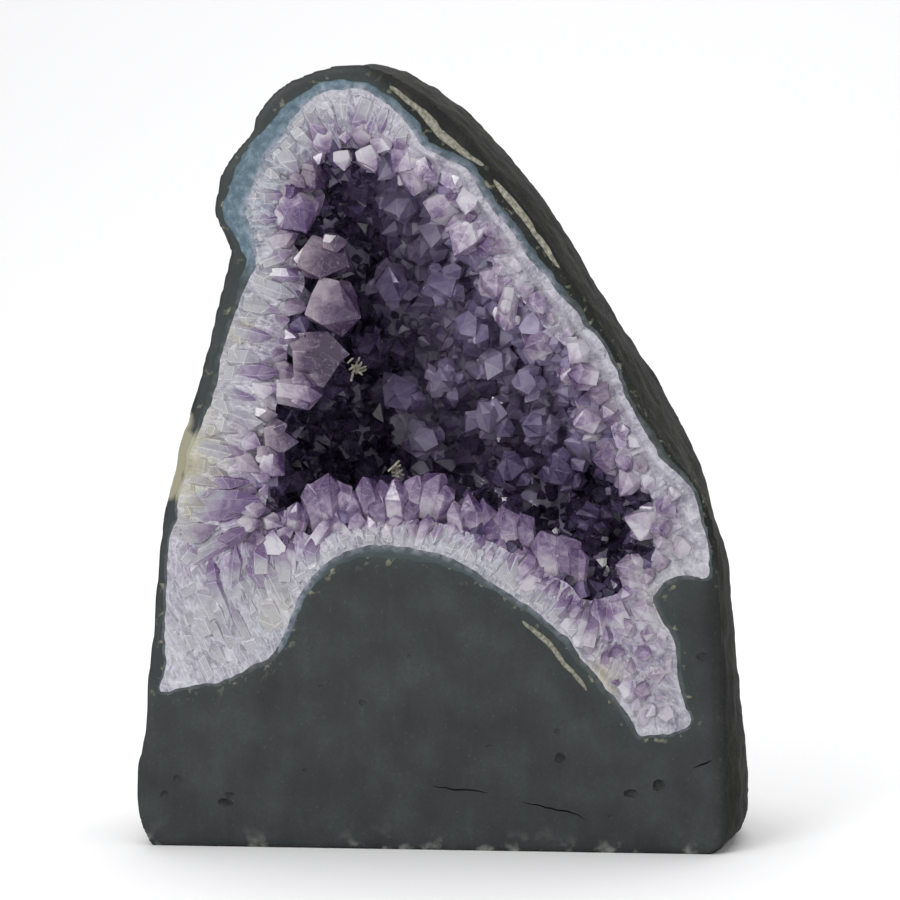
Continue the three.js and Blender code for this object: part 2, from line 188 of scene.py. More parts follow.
def naturalLoop(loop, step, wander=0.9):
    # a closed curve through the points, evenly spaced and pushed about a little by a field that
    # neighbouring layers share, so that they still meet
    loop = loop if area(loop) > 0 else loop[::-1]
    before, after, beyond = np.roll(loop, 1, 0), np.roll(loop, -1, 0), np.roll(loop, -2, 0)
    dense = []
    for t in np.linspace(0, 1, 16, endpoint=False):
        curve = (2 * before - 5 * loop + 4 * after - beyond) * t ** 2
        dense.append(0.5 * (2 * loop + (after - before) * t + curve
                            + (3 * loop - before - 3 * after + beyond) * t ** 3))
    dense = np.stack(dense, 1).reshape(-1, 2)
    ends = np.vstack([dense, dense[:1]])
    run = np.concatenate([[0], np.cumsum(np.linalg.norm(np.diff(ends, axis=0), axis=1))])
    wanted = np.linspace(0, run[-1], max(12, int(run[-1] / step)), endpoint=False)
    even = np.column_stack([np.interp(wanted, run, ends[:, k]) for k in (0, 1)])
    space = flatToSpace(even)
    for size, share in ((9.0, 1.0), (3.5, 0.5), (1.9, 0.3)):
        even = even + wander * share * np.column_stack([cloud(space, size, 1), cloud(space, size, 2)])
    return even


def inside(points, loop):
    # which points lie inside a closed outline
    found = np.zeros(len(points), bool)
    for (x1, z1), (x2, z2) in zip(loop, np.roll(loop, -1, 0)):
        if z1 != z2:
            crosses = (z1 > points[:, 1]) != (z2 > points[:, 1])
            found ^= crosses & (points[:, 0] < (x2 - x1) * (points[:, 1] - z1) / (z2 - z1) + x1)
    return found


def nearest(points, loop):
    # distance to the nearest point of an outline, and which point that is
    distance, which = np.empty(len(points)), np.empty(len(points), int)
    for s in range(0, len(points), 3000):
        square = ((points[s:s + 3000, None] - loop[None]) ** 2).sum(2)
        which[s:s + 3000] = square.argmin(1)
        distance[s:s + 3000] = np.sqrt(square.min(1))
    return distance, which


print("reading the outlines")
outlineStep = 1.0 * rough
rindLoop = naturalLoop(faceLoops("agate_rind")[0], outlineStep)
quartzLoop = naturalLoop(faceLoops("quartz_layer")[0], outlineStep)
liningLoop = naturalLoop(faceLoops("amethyst_lining")[0], outlineStep)
mouthLoop = naturalLoop(faceLoops("amethyst_lining")[1], outlineStep)


# ---- layers: a relief on the sawn face, and cups that close in behind it

layerShape = {
    "heart": (-14.0, 160.0),  # the point that the cups close in on
    "rings": 12,
    "hollowRings": 44,
    "hollowLean": (-8.0, -6.0),  # how far the end of the hollow wanders
}


def cup(start, depth, rings, lean=(0, 0), power=2.4, root=2.2):
    # rings of a cup from its mouth (n by 3, mm) back to depth, the last one small
    heart = np.array(layerShape["heart"])
    found = []
    for share in np.linspace(0, 1, rings + 1)[1:]:
        share = 0.99 * share ** 0.8
        close = (1 - share ** power) ** (1 / root)
        flat = heart + close * (start[:, [0, 2]] - heart) + np.array(lean) * share
        y = start[:, 1] + share * (depth - start[:, 1])
        found.append(np.column_stack([flat[:, 0], y, flat[:, 1]]))
    return found


def patch(outer, inner, step):
    # triangles over the band between two outlines: points (x, z), faces, and how many are outline points
    outlines = [outer] + ([inner] if inner is not None else [])
    low, high = outer.min(0), outer.max(0)
    xs = np.arange(low[0], high[0], step)
    zs = np.arange(low[1], high[1], step * 0.87)
    grid = np.array([(x + (row % 2) * step / 2, z) for row, z in enumerate(zs) for x in xs])
    space = flatToSpace(grid)
    grid = grid + 0.12 * step * np.column_stack([cloud(space, 0.7, 3), cloud(space, 0.7, 4)])
    keep = inside(grid, outer)
    for outline in outlines:
        keep &= nearest(grid, outline)[0] > 0.55 * step
    if inner is not None:
        keep &= ~inside(grid, inner)
    points = np.vstack(outlines + [grid[keep]])
    edges, start = [], 0
    for outline in outlines:
        edges += [(start + i, start + (i + 1) % len(outline)) for i in range(len(outline))]
        start += len(outline)
    made = geometry.delaunay_2d_cdt([Vector(p) for p in points], edges, [], 0, 1e-6)
    flat = np.array([tuple(p) for p in made[0]])
    faces = np.array([f for f in made[2] if len(f) == 3])
    middle = flat[faces].mean(1)
    keep = inside(middle, outer)
    if inner is not None:
        keep &= ~inside(middle, inner)
    return flat, faces[keep], start


def stitch(ringA, ringB):
    # four-sided faces between two rings of points
    n = len(ringA)
    return [(ringA[i], ringB[i], ringB[(i + 1) % n], ringA[(i + 1) % n]) for i in range(n)]


def layerSolid(outer, inner, outerDepth, innerDepth, step, relief, innerRings=None, bumpInner=None,
               lean=(0, 0)):
    # one closed layer: relief over its band on the face, an outer cup and an inner cup
    flat, faces, _ = patch(outer, inner, step)
    depth = relief(flat)  # mm behind the sawn face
    front = np.column_stack([flat[:, 0], depth, flat[:, 1]])
    sheets = [front]
    allFaces = [tuple(f) for f in faces]
    total = len(front)
    for which, (start, count, cupDepth, rings) in enumerate((
            (0, len(outer), outerDepth, layerShape["rings"]),
            (len(outer), len(inner), innerDepth, innerRings or layerShape["rings"]))):
        ringIndex = np.arange(start, start + count)
        last = ringIndex
        isHollow = which == 1 and bumpInner is not None
        for ring in cup(front[ringIndex], cupDepth, rings, lean if which else (0, 0),
                        2.0 if isHollow else 2.4, 1.9 if isHollow else 2.2):
            if isHollow:
                ring = bumpInner(ring)
            sheets.append(ring)
            index = np.arange(total, total + count)
            total += count
            quads = stitch(last, index)
            allFaces += [q[::-1] for q in quads] if which == 0 else quads
            last = index
        middle = sheets[-1].mean(0)
        sheets.append(middle[None])
        fan = [(last[i], total, last[(i + 1) % count]) for i in range(count)]
        allFaces += [f[::-1] for f in fan] if which == 0 else fan
        total += 1
    points = np.vstack(sheets)
    return points, allFaces, len(front)


def inMetres(points):
    # from millimetres behind the sawn face
    return points * mm + np.array([0, faceY, 0])


# ---- how the crystals grew: from the rind at 0 to the mouth of the hollow at 1

def growth(flat):
    # share of the way from the rind to the mouth, and the way that crystals point there
    fromRind, rindPoint = nearest(flat, quartzLoop)
    toMouth, mouthPoint = nearest(flat, mouthLoop)
    share = fromRind / np.maximum(fromRind + toMouth, 1e-6)
    away = (flat - quartzLoop[rindPoint]) / np.maximum(fromRind, 0.5)[:, None]
    toward = (mouthLoop[mouthPoint] - flat) / np.maximum(toMouth, 0.5)[:, None]
    way = away * (1 - share[:, None]) * 0.8 + toward * (0.35 + share[:, None])
    lobe = (1 - smoothStep(-66, -48, flat[:, 0])) * (1 - smoothStep(104, 126, flat[:, 1]))
    way = way * (1 - lobe)[:, None] + np.outer(lobe, (-0.42, 0.9))  # blades lean outward in the left lobe
    way /= np.maximum(np.linalg.norm(way, axis=1), 1e-6)[:, None]
    return share, way


columnLook = {
    "spacing": (5.0, 6.8),  # between columns at the rind and at the mouth
    "stretch": 3.8,  # a column's length over its width
    "step": 1.4,  # how far neighbouring columns differ in height
    "recess": 5.0,  # how deep the band lies at the mouth, where crystals stand on it
    "bladeRecess": 0.8,  # beneath the blades
    "chunkyRecess": 4.0,  # and where the saw met crystal points rather than columns
    "lobeRecess": 2.8,  # in the right-hand lobe
    "seed": 11,
}


def scatter(keepPoint, low, high, spacing, tries, rng):
    # points at least spacing(p) apart, tried in a fixed order
    found, cells, size = [], {}, 3.0
    tried = low + rng.random((tries, 2)) * (high - low)
    good = keepPoint(tried)
    gaps = spacing(tried)
    for p, gap in zip(tried[good], gaps[good]):
        cx, cz = int(p[0] // size), int(p[1] // size)
        reach = int(gap // size) + 1
        near = (q for i in range(cx - reach, cx + reach + 1) for k in range(cz - reach, cz + reach + 1)
                for q in cells.get((i, k), ()))
        if all((p[0] - q[0]) ** 2 + (p[1] - q[1]) ** 2 > gap * gap for q in near):
            cells.setdefault((cx, cz), []).append(p)
            found.append(p)
    return np.array(found)


def onBand(p):
    # between the rind and the mouth of the hollow
    return inside(p, quartzLoop) & ~inside(p, mouthLoop)


print("growing the columns")
columnRng = np.random.default_rng(columnLook["seed"])
lowBand, highBand = quartzLoop.min(0), quartzLoop.max(0)
columnSeeds = scatter(onBand, lowBand, highBand, lambda p: between(columnLook["spacing"], growth(p)[0]),
                      14000, columnRng)
columnGrow, columnWay = growth(columnSeeds)
turns = columnRng.normal(0, 0.16, len(columnSeeds))
columnWay = np.column_stack([columnWay[:, 0] * np.cos(turns) - columnWay[:, 1] * np.sin(turns),
                             columnWay[:, 0] * np.sin(turns) + columnWay[:, 1] * np.cos(turns)])
columnRandom = columnRng.random((len(columnSeeds), 5))
columnWidth = between(columnLook["spacing"], columnGrow) * 0.5
print(len(columnSeeds), "columns")


def columnAt(flat):
    # for each point: its column, how far it is across and along it in mm, and how near its edge
    which = np.empty(len(flat), int)
    across, along, border = np.empty(len(flat)), np.empty(len(flat)), np.empty(len(flat))
    for s in range(0, len(flat), 1500):
        gap = flat[s:s + 1500, None] - columnSeeds[None]
        a = gap[..., 0] * -columnWay[:, 1] + gap[..., 1] * columnWay[:, 0]
        l = gap[..., 0] * columnWay[:, 0] + gap[..., 1] * columnWay[:, 1]
        far = np.sqrt(a ** 2 + (l / columnLook["stretch"]) ** 2)
        two = np.argpartition(far, 1, axis=1)[:, :2]
        rows = np.arange(len(two))
        d = np.take_along_axis(far, two, 1)
        first = two[rows, d.argmin(1)]
        which[s:s + 1500] = first
        across[s:s + 1500], along[s:s + 1500] = a[rows, first], l[rows, first]
        border[s:s + 1500] = np.abs(d[:, 0] - d[:, 1])
    return which, across, along, border


def chunky(flat):
    # 1 on the right of the mouth and in the right-hand lobe, where points face forward
    x, z = flat.T
    return np.clip(smoothStep(-22, 2, x) * smoothStep(138, 155, z) + smoothStep(46, 60, x), 0, 1)


def lobe(flat):
    # 1 in the right-hand lobe, below the mouth
    x, z = flat.T
    return smoothStep(46, 54, x) * (1 - smoothStep(98, 106, z))


def bandDepth(flat):
    # relief of the sawn and broken columns, in mm behind the sawn face
    share, _ = growth(flat)
    which, across, along, border = columnAt(flat)
    chance = columnRandom[which]
    strength = 0.3 + 0.7 * smoothStep(0.15, 0.6, share)
    ridge = np.maximum(np.abs(across) / columnWidth[which] - 0.3, 0) * 0.6
    tilt = (chance[:, 1] - 0.5) * 0.4 * across + (chance[:, 2] - 0.5) * 0.12 * along
    height = chance[:, 0] * columnLook["step"] + ridge + tilt + 0.5
    chips = 0.3 * cloud(np.column_stack([across * 0.9, along * 0.3, chance[:, 0] * 40]), 1.0, 9)
    groove = 0.5 * np.exp(-border / 0.25) + chips
    side = 0.35 + 0.65 * smoothStep(118, 140, flat[:, 1] - 0.25 * flat[:, 0])  # shallower under the mouth
    recess = columnLook["recess"] * smoothStep(0.5, 1.0, share) * side
    recess = np.maximum(recess, columnLook["chunkyRecess"] * chunky(flat) * smoothStep(0.2, 0.5, share))
    recess = np.maximum(recess, columnLook["lobeRecess"] * lobe(flat) * smoothStep(0.03, 0.12, share))
    sunk = columnLook["bladeRecess"] * (1 - chunky(flat))
    recess = np.maximum(recess, sunk * smoothStep(0.05, 0.16, share))
    return np.maximum(0.02, (height * strength + groove + recess) * smoothStep(0, 0.06, share))


# Places where the colour departs from the general change from white to violet: x, z, radius, amount
violetSpots = [
    (-25, 275, 7, 0.8), (-42, 268, 7, 0.7), (-14, 267, 5, 0.7), (0, 255, 9, 0.35), (20, 230, 9, 0.4),
    (-74, 131, 13, 1.1), (-84, 114, 12, 1.0), (-94, 108, 8, 0.6), (-62, 112, 8, 0.5), (-70, 122, 8, 0.9),
    (54, 95, 7, 0.5), (66, 96, 6, 0.7), (67, 79, 9, 0.9), (78, 74, 7, 0.8), (60, 88, 7, 0.6),
    (73, 88, 6, 0.5), (80, 62, 7, 0.6), (66, 68, 7, 0.7), (57, 92, 8, 0.6), (47, 97, 9, 0.55),
    (38, 103, 9, 0.4), (64, 157, 11, 0.7), (60, 172, 8, 0.4), (-58, 186, 12, 0.5), (-60, 240, 8, 0.6),
    (38, 205, 8, 0.4), (74, 124, 9, 0.2),
]
paleSpots = [
    (-92, 82, 22, 0.9), (-70, 88, 16, 0.8), (-72, 252, 14, 0.7), (-84, 175, 14, 0.6), (-78, 215, 14, 0.6),
    (-95, 150, 13, 0.7), (78, 142, 11, 0.7), (92, 112, 10, 0.6), (86, 50, 9, 0.6), (-30, 262, 7, 0.9),
    (-65, 105, 9, 0.3),
]
creamSpots = [
    (-97, 150, 15, 1.0), (-93, 166, 9, 0.7), (-94, 134, 11, 0.7), (-90, 184, 8, 0.4), (62, 65, 8, 0.8),
    (87, 93, 6, 0.8), (-76, 196, 6, 0.4), (-88, 186, 10, 0.35), (-60, 90, 8, 0.25),
]
stainSpots = [(-72, 197, 2.6, 1.0), (79, 126, 2.8, 0.9), (-95, 145, 3.5, 0.5), (-26, 108, 3.0, 0.6)]
blueSpots = [
    (-75, 245, 16, 0.8), (-60, 272, 16, 0.6), (-86, 205, 12, 0.3), (10, 112, 30, 0.25), (-60, 84, 9, 0.35),
]


def spotted(flat, spots):
    # how strongly any of the spots colours each point
    total = np.zeros(len(flat))
    for x, z, radius, amount in spots:
        away = np.hypot(flat[:, 0] - x, flat[:, 1] - z) / radius
        total = np.maximum(total, amount * np.exp(-away ** 2))
    return total


def bandAttributes(points, frontCount):
    # what the materials read: share grown, chance, edge, violet, cream, stain, blue and strand coordinates
    flat = points[:, [0, 2]]
    share, _ = growth(flat)
    which, across, along, border = columnAt(flat)
    chance = columnRandom[which]
    behind = np.arange(len(points)) >= frontCount
    share = np.where(behind, np.maximum(share, 0.6), share)
    space = flatToSpace(flat)
    drift = 0.16 * cloud(space, 11, 5) + 0.1 * cloud(space, 4, 6)
    violet = smoothStep(0.38, 1.0, share + drift + (chance[:, 3] - 0.5) * 0.3) * 0.8
    violet = violet * (1 - spotted(flat, paleSpots))
    violet = violet + spotted(flat + 2.5 * (chance[:, :2] - 0.5), violetSpots)
    violet = np.clip(violet, 0, 1)
    return {
        "grow": share, "chance": chance[:, 4], "edge": np.exp(-border / 0.5), "violet": violet,
        "cream": np.clip(spotted(flat, creamSpots) + 0.08 * cloud(space, 9, 8), 0, 1),
        "lumpy": chunky(flat), "stain": spotted(flat, stainSpots),
        "blue": np.clip(spotted(flat, blueSpots), 0, 1),
        "strand": np.column_stack([across + 7 * chance[:, 0], along, 20 * chance[:, 1]]),
    }


def nodeDepth(node):
    # how far back a CAD node reaches, in mm behind the sawn face
    return (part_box(node)[1].y - faceY) / mm


print("quartz")
bandStep = 0.65 * rough
points, faces, frontCount = layerSolid(quartzLoop, liningLoop, nodeDepth("quartz_layer"),
                                       nodeDepth("amethyst_lining") + 0.5, bandStep, bandDepth)
quartz = makePiece("milky_quartz", inMetres(points), faces, stands=["quartz_layer"],
                   attributes=bandAttributes(points, frontCount))
tidyNormals(quartz.data)


def drusy(ring):
    # the wall of the hollow between its large crystals
    return ring + np.column_stack([cloud(ring, 6, 21), cloud(ring, 6, 22), cloud(ring, 6, 23)]) * 0.9


print("lining")
hollowDepth = nodeDepth("amethyst_lining") - 8.0
points, faces, liningFront = layerSolid(
    liningLoop, mouthLoop, nodeDepth("amethyst_lining"), hollowDepth, bandStep, bandDepth,
    layerShape["hollowRings"], drusy, layerShape["hollowLean"])
lining = makePiece("violet_lining", inMetres(points), faces, stands=["amethyst_lining"],
                   attributes=bandAttributes(points, liningFront))
tidyNormals(lining.data)
hollowPoints = points


# ---- crystals

def crystalMesh(tip, way, radius, length, rng, squat=1.0):
    # a six-sided crystal: points, faces and how far along it each point is. Broad and narrow faces
    # take turns round its point, which ends in a short ridge off its axis, as on quartz
    way = unit(way)
    helper = np.array([0, 0, 1.0]) if abs(way[2]) < 0.9 else np.array([1.0, 0, 0])
    sideA = unit(np.cross(way, helper))
    sideB = np.cross(way, sideA)
    angles = np.arange(6) * math.pi / 3 + rng.random() * math.pi + rng.normal(0, 0.1, 6)
    reach = radius * (1 + rng.normal(0, 0.13, 6))
    pointHeight = min(radius * (0.95 + 0.4 * rng.random()) * squat, 0.6 * length)
    uneven = 0.3 * np.where(np.arange(6) % 2, 1, -1) * rng.random()
    shoulder = -pointHeight * (1 + uneven + rng.normal(0, 0.1, 6))
    off = rng.normal(0, 0.22, 2) * radius
    ridge = np.array([math.cos(angles[0]), math.sin(angles[0])]) * radius * 0.3 * rng.random()

    def ring(scale, heights):
        return (tip + np.outer(np.cos(angles) * reach * scale, sideA)
                + np.outer(np.sin(angles) * reach * scale, sideB) + np.outer(heights, way))

    ends = [tip + x * sideA + y * sideB - drop * way
            for (x, y), drop in ((off + ridge, 0), (off - ridge, 0.15 * radius))]
    points = np.vstack([ring(0.88, np.full(6, -length)), ring(1.0, shoulder), ends, [tip - way * length]])
    faces = []
    for i in range(6):
        k = (i + 1) % 6
        end = 12 if i in (0, 1, 5) else 13
        faces += [(i, k, 6 + k, 6 + i), (6 + i, 6 + k, end), (k, i, 14)]
    faces += [(8, 13, 12), (11, 12, 13)]
    along = np.concatenate([np.zeros(6), np.clip(1 + shoulder / length, 0, 1), [1.0, 1.0, 0.0]])
    volume = sum(np.dot(points[f[0]], np.cross(points[a], points[b]))
                 for f in faces for a, b in zip(f[1:], f[2:]))
    return points, faces if volume > 0 else [f[::-1] for f in faces], along


def wearEdges(piece, width, chipped):
    # edges rounded by a little wear, with the faces left flat
    soften = piece.modifiers.new("worn edges", "BEVEL")
    soften.width, soften.segments, soften.limit_method = width * mm, 1, "ANGLE"
    soften.angle_limit = math.radians(18)
    soften.harden_normals = True
    if chipped:
        soften.material = 1  # broken edges look white


def crystalPiece(name, crystals, stands=(), bevel=0.3, mauveShare=None, rootShare=1.0,
                 chipped=False):
    # many crystals in one piece, each (tip, way, radius, length, rng, squat, violet) and perhaps mauve.
    # rootShare is how violet the roots are, as a share of the points
    allPoints, allFaces, grow, chance, violet, mauve, total = [], [], [], [], [], [], 0
    for tip, way, radius, length, rng, squat, tone, *own in crystals:
        points, faces, along = crystalMesh(np.array(tip), np.array(way, float), radius, length, rng, squat)
        tilt = (points[:, [0, 2]] - points[:, [0, 2]].mean(0)) @ rng.normal(0, 0.05, 2)
        # sawn and chipped nearly flush with the face
        sawn = np.maximum(0.12, 0.12 + 0.5 * rng.random() + tilt)
        points[:, 1] = np.maximum(points[:, 1], sawn)
        allPoints.append(points)
        allFaces += [tuple(i + total for i in f) for f in faces]
        grow.append(along)
        chance.append(np.full(len(points), rng.random()))
        violet.append(tone * (rootShare + (1 - rootShare) * along))
        if own:
            shade = own[0]
        elif mauveShare is None:
            shade = 0.5 * rng.random() ** 2
        else:
            shade = mauveShare
        mauve.append(np.full(len(points), shade))
        total += len(points)
    piece = makePiece(name, inMetres(np.vstack(allPoints)), allFaces, stands=stands, attributes={
        "grow": np.concatenate(grow), "chance": np.concatenate(chance), "violet": np.concatenate(violet),
        "mauve": np.concatenate(mauve)}, smooth=True)
    facets = piece.data.attributes.new("facet", "FLOAT", "FACE")
    shades = np.random.default_rng(len(allFaces)).random(len(allFaces))
    facets.data.foreach_set("value", shades.astype(np.float32))
    wearEdges(piece, bevel, chipped)
    return piece


bandCrystals = {
    "spacing": 5.8, "radius": (2.8, 5.4), "lean": 0.6,
    "rowSpacing": 4.2, "rowRadius": (2.3, 4.2), "rowLean": 0.25,  # the crowded row along the bottom
    "chunkyLean": 1.4, "seed": 5,
}


def bottomRow(flat):
    # 1 along the bottom of the mouth, where columns stand side by side
    x, z = flat.T
    return (1 - smoothStep(140, 152, z)) * (1 - smoothStep(58, 66, x)) * smoothStep(-62, -54, x)


def crystalGround(p):
    # where points stand: by the mouth, further out below and right of it, and all over the lobe
    row = bottomRow(p)
    return onBand(p) & (growth(p)[0] > 0.72 - 0.34 * chunky(p) * (1 - row) - 0.34 * row - 0.6 * lobe(p))


print("crystals round the mouth")
bandRng = np.random.default_rng(bandCrystals["seed"])
spots = scatter(crystalGround, lowBand, highBand,
                lambda p: between((bandCrystals["spacing"], bandCrystals["rowSpacing"]), bottomRow(p)),
                16000, bandRng)
share, way = growth(spots)
toRind = nearest(spots, quartzLoop)[0]
depth = bandDepth(spots)
side = 0.2 + 0.8 * smoothStep(118, 140, spots[:, 1] - 0.25 * spots[:, 0])
tones = bandAttributes(flatToSpace(spots), len(spots))["violet"]
crystals = []
for p, w, d, shallow, tone, c, row, long in zip(spots, way, depth, side, tones, chunky(spots),
                                                bottomRow(spots), toRind):
    c = c * (1 - row)
    radius = between(bandCrystals["rowRadius" if row > 0.5 else "radius"], bandRng.random())
    out = bandCrystals["lean"] * shallow * (1 - c) + bandCrystals["chunkyLean"] * c
    out = (out * (1 - row) + bandCrystals["rowLean"] * row) * (0.5 + 0.8 * bandRng.random())
    direction = unit(np.array([w[0], -out, w[1]]) + bandRng.normal(0, 0.13 + 0.17 * c, 3))
    stand = radius * (1.2 + 0.5 * bandRng.random())
    tip = np.array([p[0], d * (1 - 0.6 * row) + 1.0, p[1]]) + direction * stand
    tip[1] = max(tip[1], 0.6 + 2.0 * bandRng.random() + 0.7 * radius * row)
    crystals.append((tip, direction, radius, stand + 3.0 + (long - 4.0) * row, bandRng, 1.0 - 0.25 * c,
                     0.2 + 0.6 * tone))
print(len(crystals), "crystals on the band")

bladeLook = {"spacing": (5.4, 7.0), "radius": (2.7, 5.2), "length": (16.0, 34.0), "lean": 0.1, "seed": 14}
bladeRng = np.random.default_rng(bladeLook["seed"])


def bladeGround(p):
    # where the saw ran along the columns, so that they show as blades
    share, _ = growth(p)
    return onBand(p) & ((1 - chunky(p)) * smoothStep(0.06, 0.12, share) > 0.5) & (share < 0.8)


places = scatter(bladeGround, lowBand, highBand, lambda p: between(bladeLook["spacing"], growth(p)[0]),
                 16000, bladeRng)
share, way = growth(places)
toRind = nearest(places, quartzLoop)[0]
traits = bandAttributes(flatToSpace(places), len(places))
blades = []
for p, w, long, tone, cream in zip(places, way, toRind, traits["violet"], traits["cream"]):
    radius = between(bladeLook["radius"], bladeRng.random() ** 1.3)
    radius = min(radius, 1.0 + 0.6 * long)  # slim where the band is thin
    lean = bladeLook["lean"] * (0.3 + bladeRng.random())
    direction = unit(np.array([w[0], -lean, w[1]]) + bladeRng.normal(0, 0.09, 3))
    length = min(long + 0.5 * radius, between(bladeLook["length"], bladeRng.random()))
    tip = np.array([p[0], radius * (0.55 + 0.4 * bladeRng.random()), p[1]]) + direction * radius
    tip[1] = max(tip[1], 0.6 * radius, 1.2)  # so that the saw leaves the point
    squat = 1.1 + 1.3 * bladeRng.random()
    blades.append((tip, direction, radius, length, bladeRng, squat, 1.1 * tone, min(1.0, 1.2 * cream)))
print(len(blades), "blades")
bladePiece = crystalPiece("quartz_blades", blades, bevel=0.32, rootShare=0.25, chipped=True)
bandPiece = crystalPiece("mouth_crystals", crystals, rootShare=0.1)


def hollowToneAndShade(p):
    # how deep the colour is: a base violet, made deeper under the left side and along the bottom of the
    # hollow as painted shade
    left = 1 - smoothStep(-34, -14, p[0] + 0.1 * (p[2] - 190))
    low = 1 - smoothStep(130, 152, p[2] - 0.15 * p[0])
    return 0.3 + 0.6 * max(left, low)


print("crystals in the hollow")
wallCrystals = {"spacing": 4.6, "radius": (2.0, 5.8), "seed": 8}
wallRng = np.random.default_rng(wallCrystals["seed"])
ringCount = len(mouthLoop)
wallStart = len(hollowPoints) - 1 - layerShape["hollowRings"] * ringCount
wallGrid = hollowPoints[wallStart:-1].reshape(layerShape["hollowRings"], ringCount, 3)
dRing = np.gradient(wallGrid, axis=0)
dTurn = (np.roll(wallGrid, -1, 1) - np.roll(wallGrid, 1, 1)) / 2
wallNormal = np.cross(dTurn, dRing)
areas = np.linalg.norm(wallNormal, axis=2)
wallNormal /= np.maximum(areas, 1e-9)[..., None]
centre = wallGrid.mean((0, 1)) + np.array([0, -30, 0])
wallNormal *= np.sign(((centre - wallGrid) * wallNormal).sum(2))[..., None]  # towards the hollow
flatPoints, flatNormals = wallGrid.reshape(-1, 3), wallNormal.reshape(-1, 3)
order = wallRng.choice(len(flatPoints), min(len(flatPoints), 14000), replace=False,
                       p=areas.ravel() / areas.sum())
taken, crystals = [], []
for index in order:
    p, n = flatPoints[index], flatNormals[index]
    gap = wallCrystals["spacing"] * (0.75 + 0.7 * wallRng.random())
    if taken and (np.sum((np.array(taken) - p) ** 2, 1) < gap * gap).any():
        continue
    taken.append(p)
    radius = between(wallCrystals["radius"], wallRng.random() ** 1.6)
    direction = unit(n + wallRng.normal(0, 0.42, 3) + np.array([0, -0.25, 0]))
    stand = radius * (1.1 + 0.8 * wallRng.random())
    tip = p + direction * stand
    if tip[1] < 3:
        continue
    # the tone holds painted shade: deeper under the left side and along the bottom of the hollow
    tone = hollowToneAndShade(tip) + 0.1 * wallRng.random()
    crystals.append((tip, direction, radius, stand + 5.0, wallRng, 0.9, tone))
# x, z and radius of pale crystals that stand for white glints, a painted highlight; they are also turned
# forwards, left and up towards the key light
paintedGlintPoints = [
    (43, 176, 3.2), (39, 167, 2.6), (-18, 176, 3.0), (19, 166, 1.8), (35, 153, 2.2), (-15, 195, 2.0),
    (32, 133, 3.0), (66, 133, 1.8), (-2, 177, 2.4),
]
facing = np.flatnonzero(flatNormals[:, 1] < -0.3)


def wallAt(x, z):
    # the place on the wall of the hollow that lies behind x and z
    return flatPoints[facing[np.argmin(np.hypot(flatPoints[facing, 0] - x, flatPoints[facing, 2] - z))]]


for x, z, radius in paintedGlintPoints:
    direction = unit(np.array([-0.35, -1.0, 0.45]) + wallRng.normal(0, 0.25, 3))
    tip = wallAt(x, z) + direction * radius * 3.4
    # a tone below zero paints them pale, as glints
    crystals.append((tip, direction, radius, radius * 3.4, wallRng, 1.1, -0.5))
print(len(crystals), "crystals in the hollow")
wallPiece = crystalPiece("hollow_crystals", crystals)


print("sprigs")
sprigLook = {"places": [(-32, 182), (-17, 143)], "depth": 9.0, "needles": 12, "length": (3.0, 6.5),
             "radius": 0.45}
needles = []
for x, z in sprigLook["places"]:
    for _ in range(sprigLook["needles"]):
        direction = unit(np.array([0.6, -0.5, 0.5]) + wallRng.normal(0, 0.5, 3))
        long = between(sprigLook["length"], wallRng.random())
        start = np.array([x, sprigLook["depth"], z]) + wallRng.normal(0, 1.2, 3)
        needles.append((start + direction * long, direction, sprigLook["radius"], long, wallRng, 1.5, 0.0))
sprigs = crystalPiece("goethite_sprigs", needles, bevel=0.05)


# main and others are shares of the CAD crystal's radius; setBack and length are in radii too
clusterBase = {"main": 0.9, "others": 0.45, "turns": (0.0, 2.1, 4.2), "around": True, "setBack": 1.0,
               "spread": 0.6, "length": 2.4, "lean": 0.0, "violet": 0.5, "mauve": 0.15}
clusterLook = {key: {**clusterBase, **own} for key, own in {
    "wall": {"main": 0.68, "others": 0.45, "turns": (0.0, 1.2, 2.4, 3.6, 4.9)},
    "rim_crystal_bottom": {"main": 0.72, "others": 0.55, "turns": (0.0, math.pi), "around": False,
                           "setBack": 0.7, "spread": 0.2, "length": 6.0, "lean": 0.35, "violet": 0.75},
    "rim_crystal_top": {"main": 0.62, "turns": (), "violet": 0.45},
    "rim_crystal_right": {"main": 0.8, "violet": 0.4},
    "rim_crystal_left": {"main": 0.9, "others": 0.5, "violet": 1.0, "mauve": 0.6},
    "rim_crystal_left_1": {"main": 0.9, "violet": 0.95, "mauve": 0.1},
    "rim_crystal_left_2": {"main": 0.9, "violet": 1.3, "mauve": 0.7},
    "rim_crystal_left_3": {"main": 0.9, "violet": 0.85, "mauve": 0.4},
    "rim_crystal_left_4": {"main": 0.9, "violet": 1.6, "mauve": 0.8},
    "rim_crystal_left_5": {"main": 0.9, "violet": 1.15, "mauve": 0.7},
    "rim_crystal_left_6": {"main": 0.9, "violet": 1.7, "mauve": 0.85},
    "rim_crystal_left_7": {"main": 0.85, "violet": 1.0, "mauve": 0.0},
}.items()}

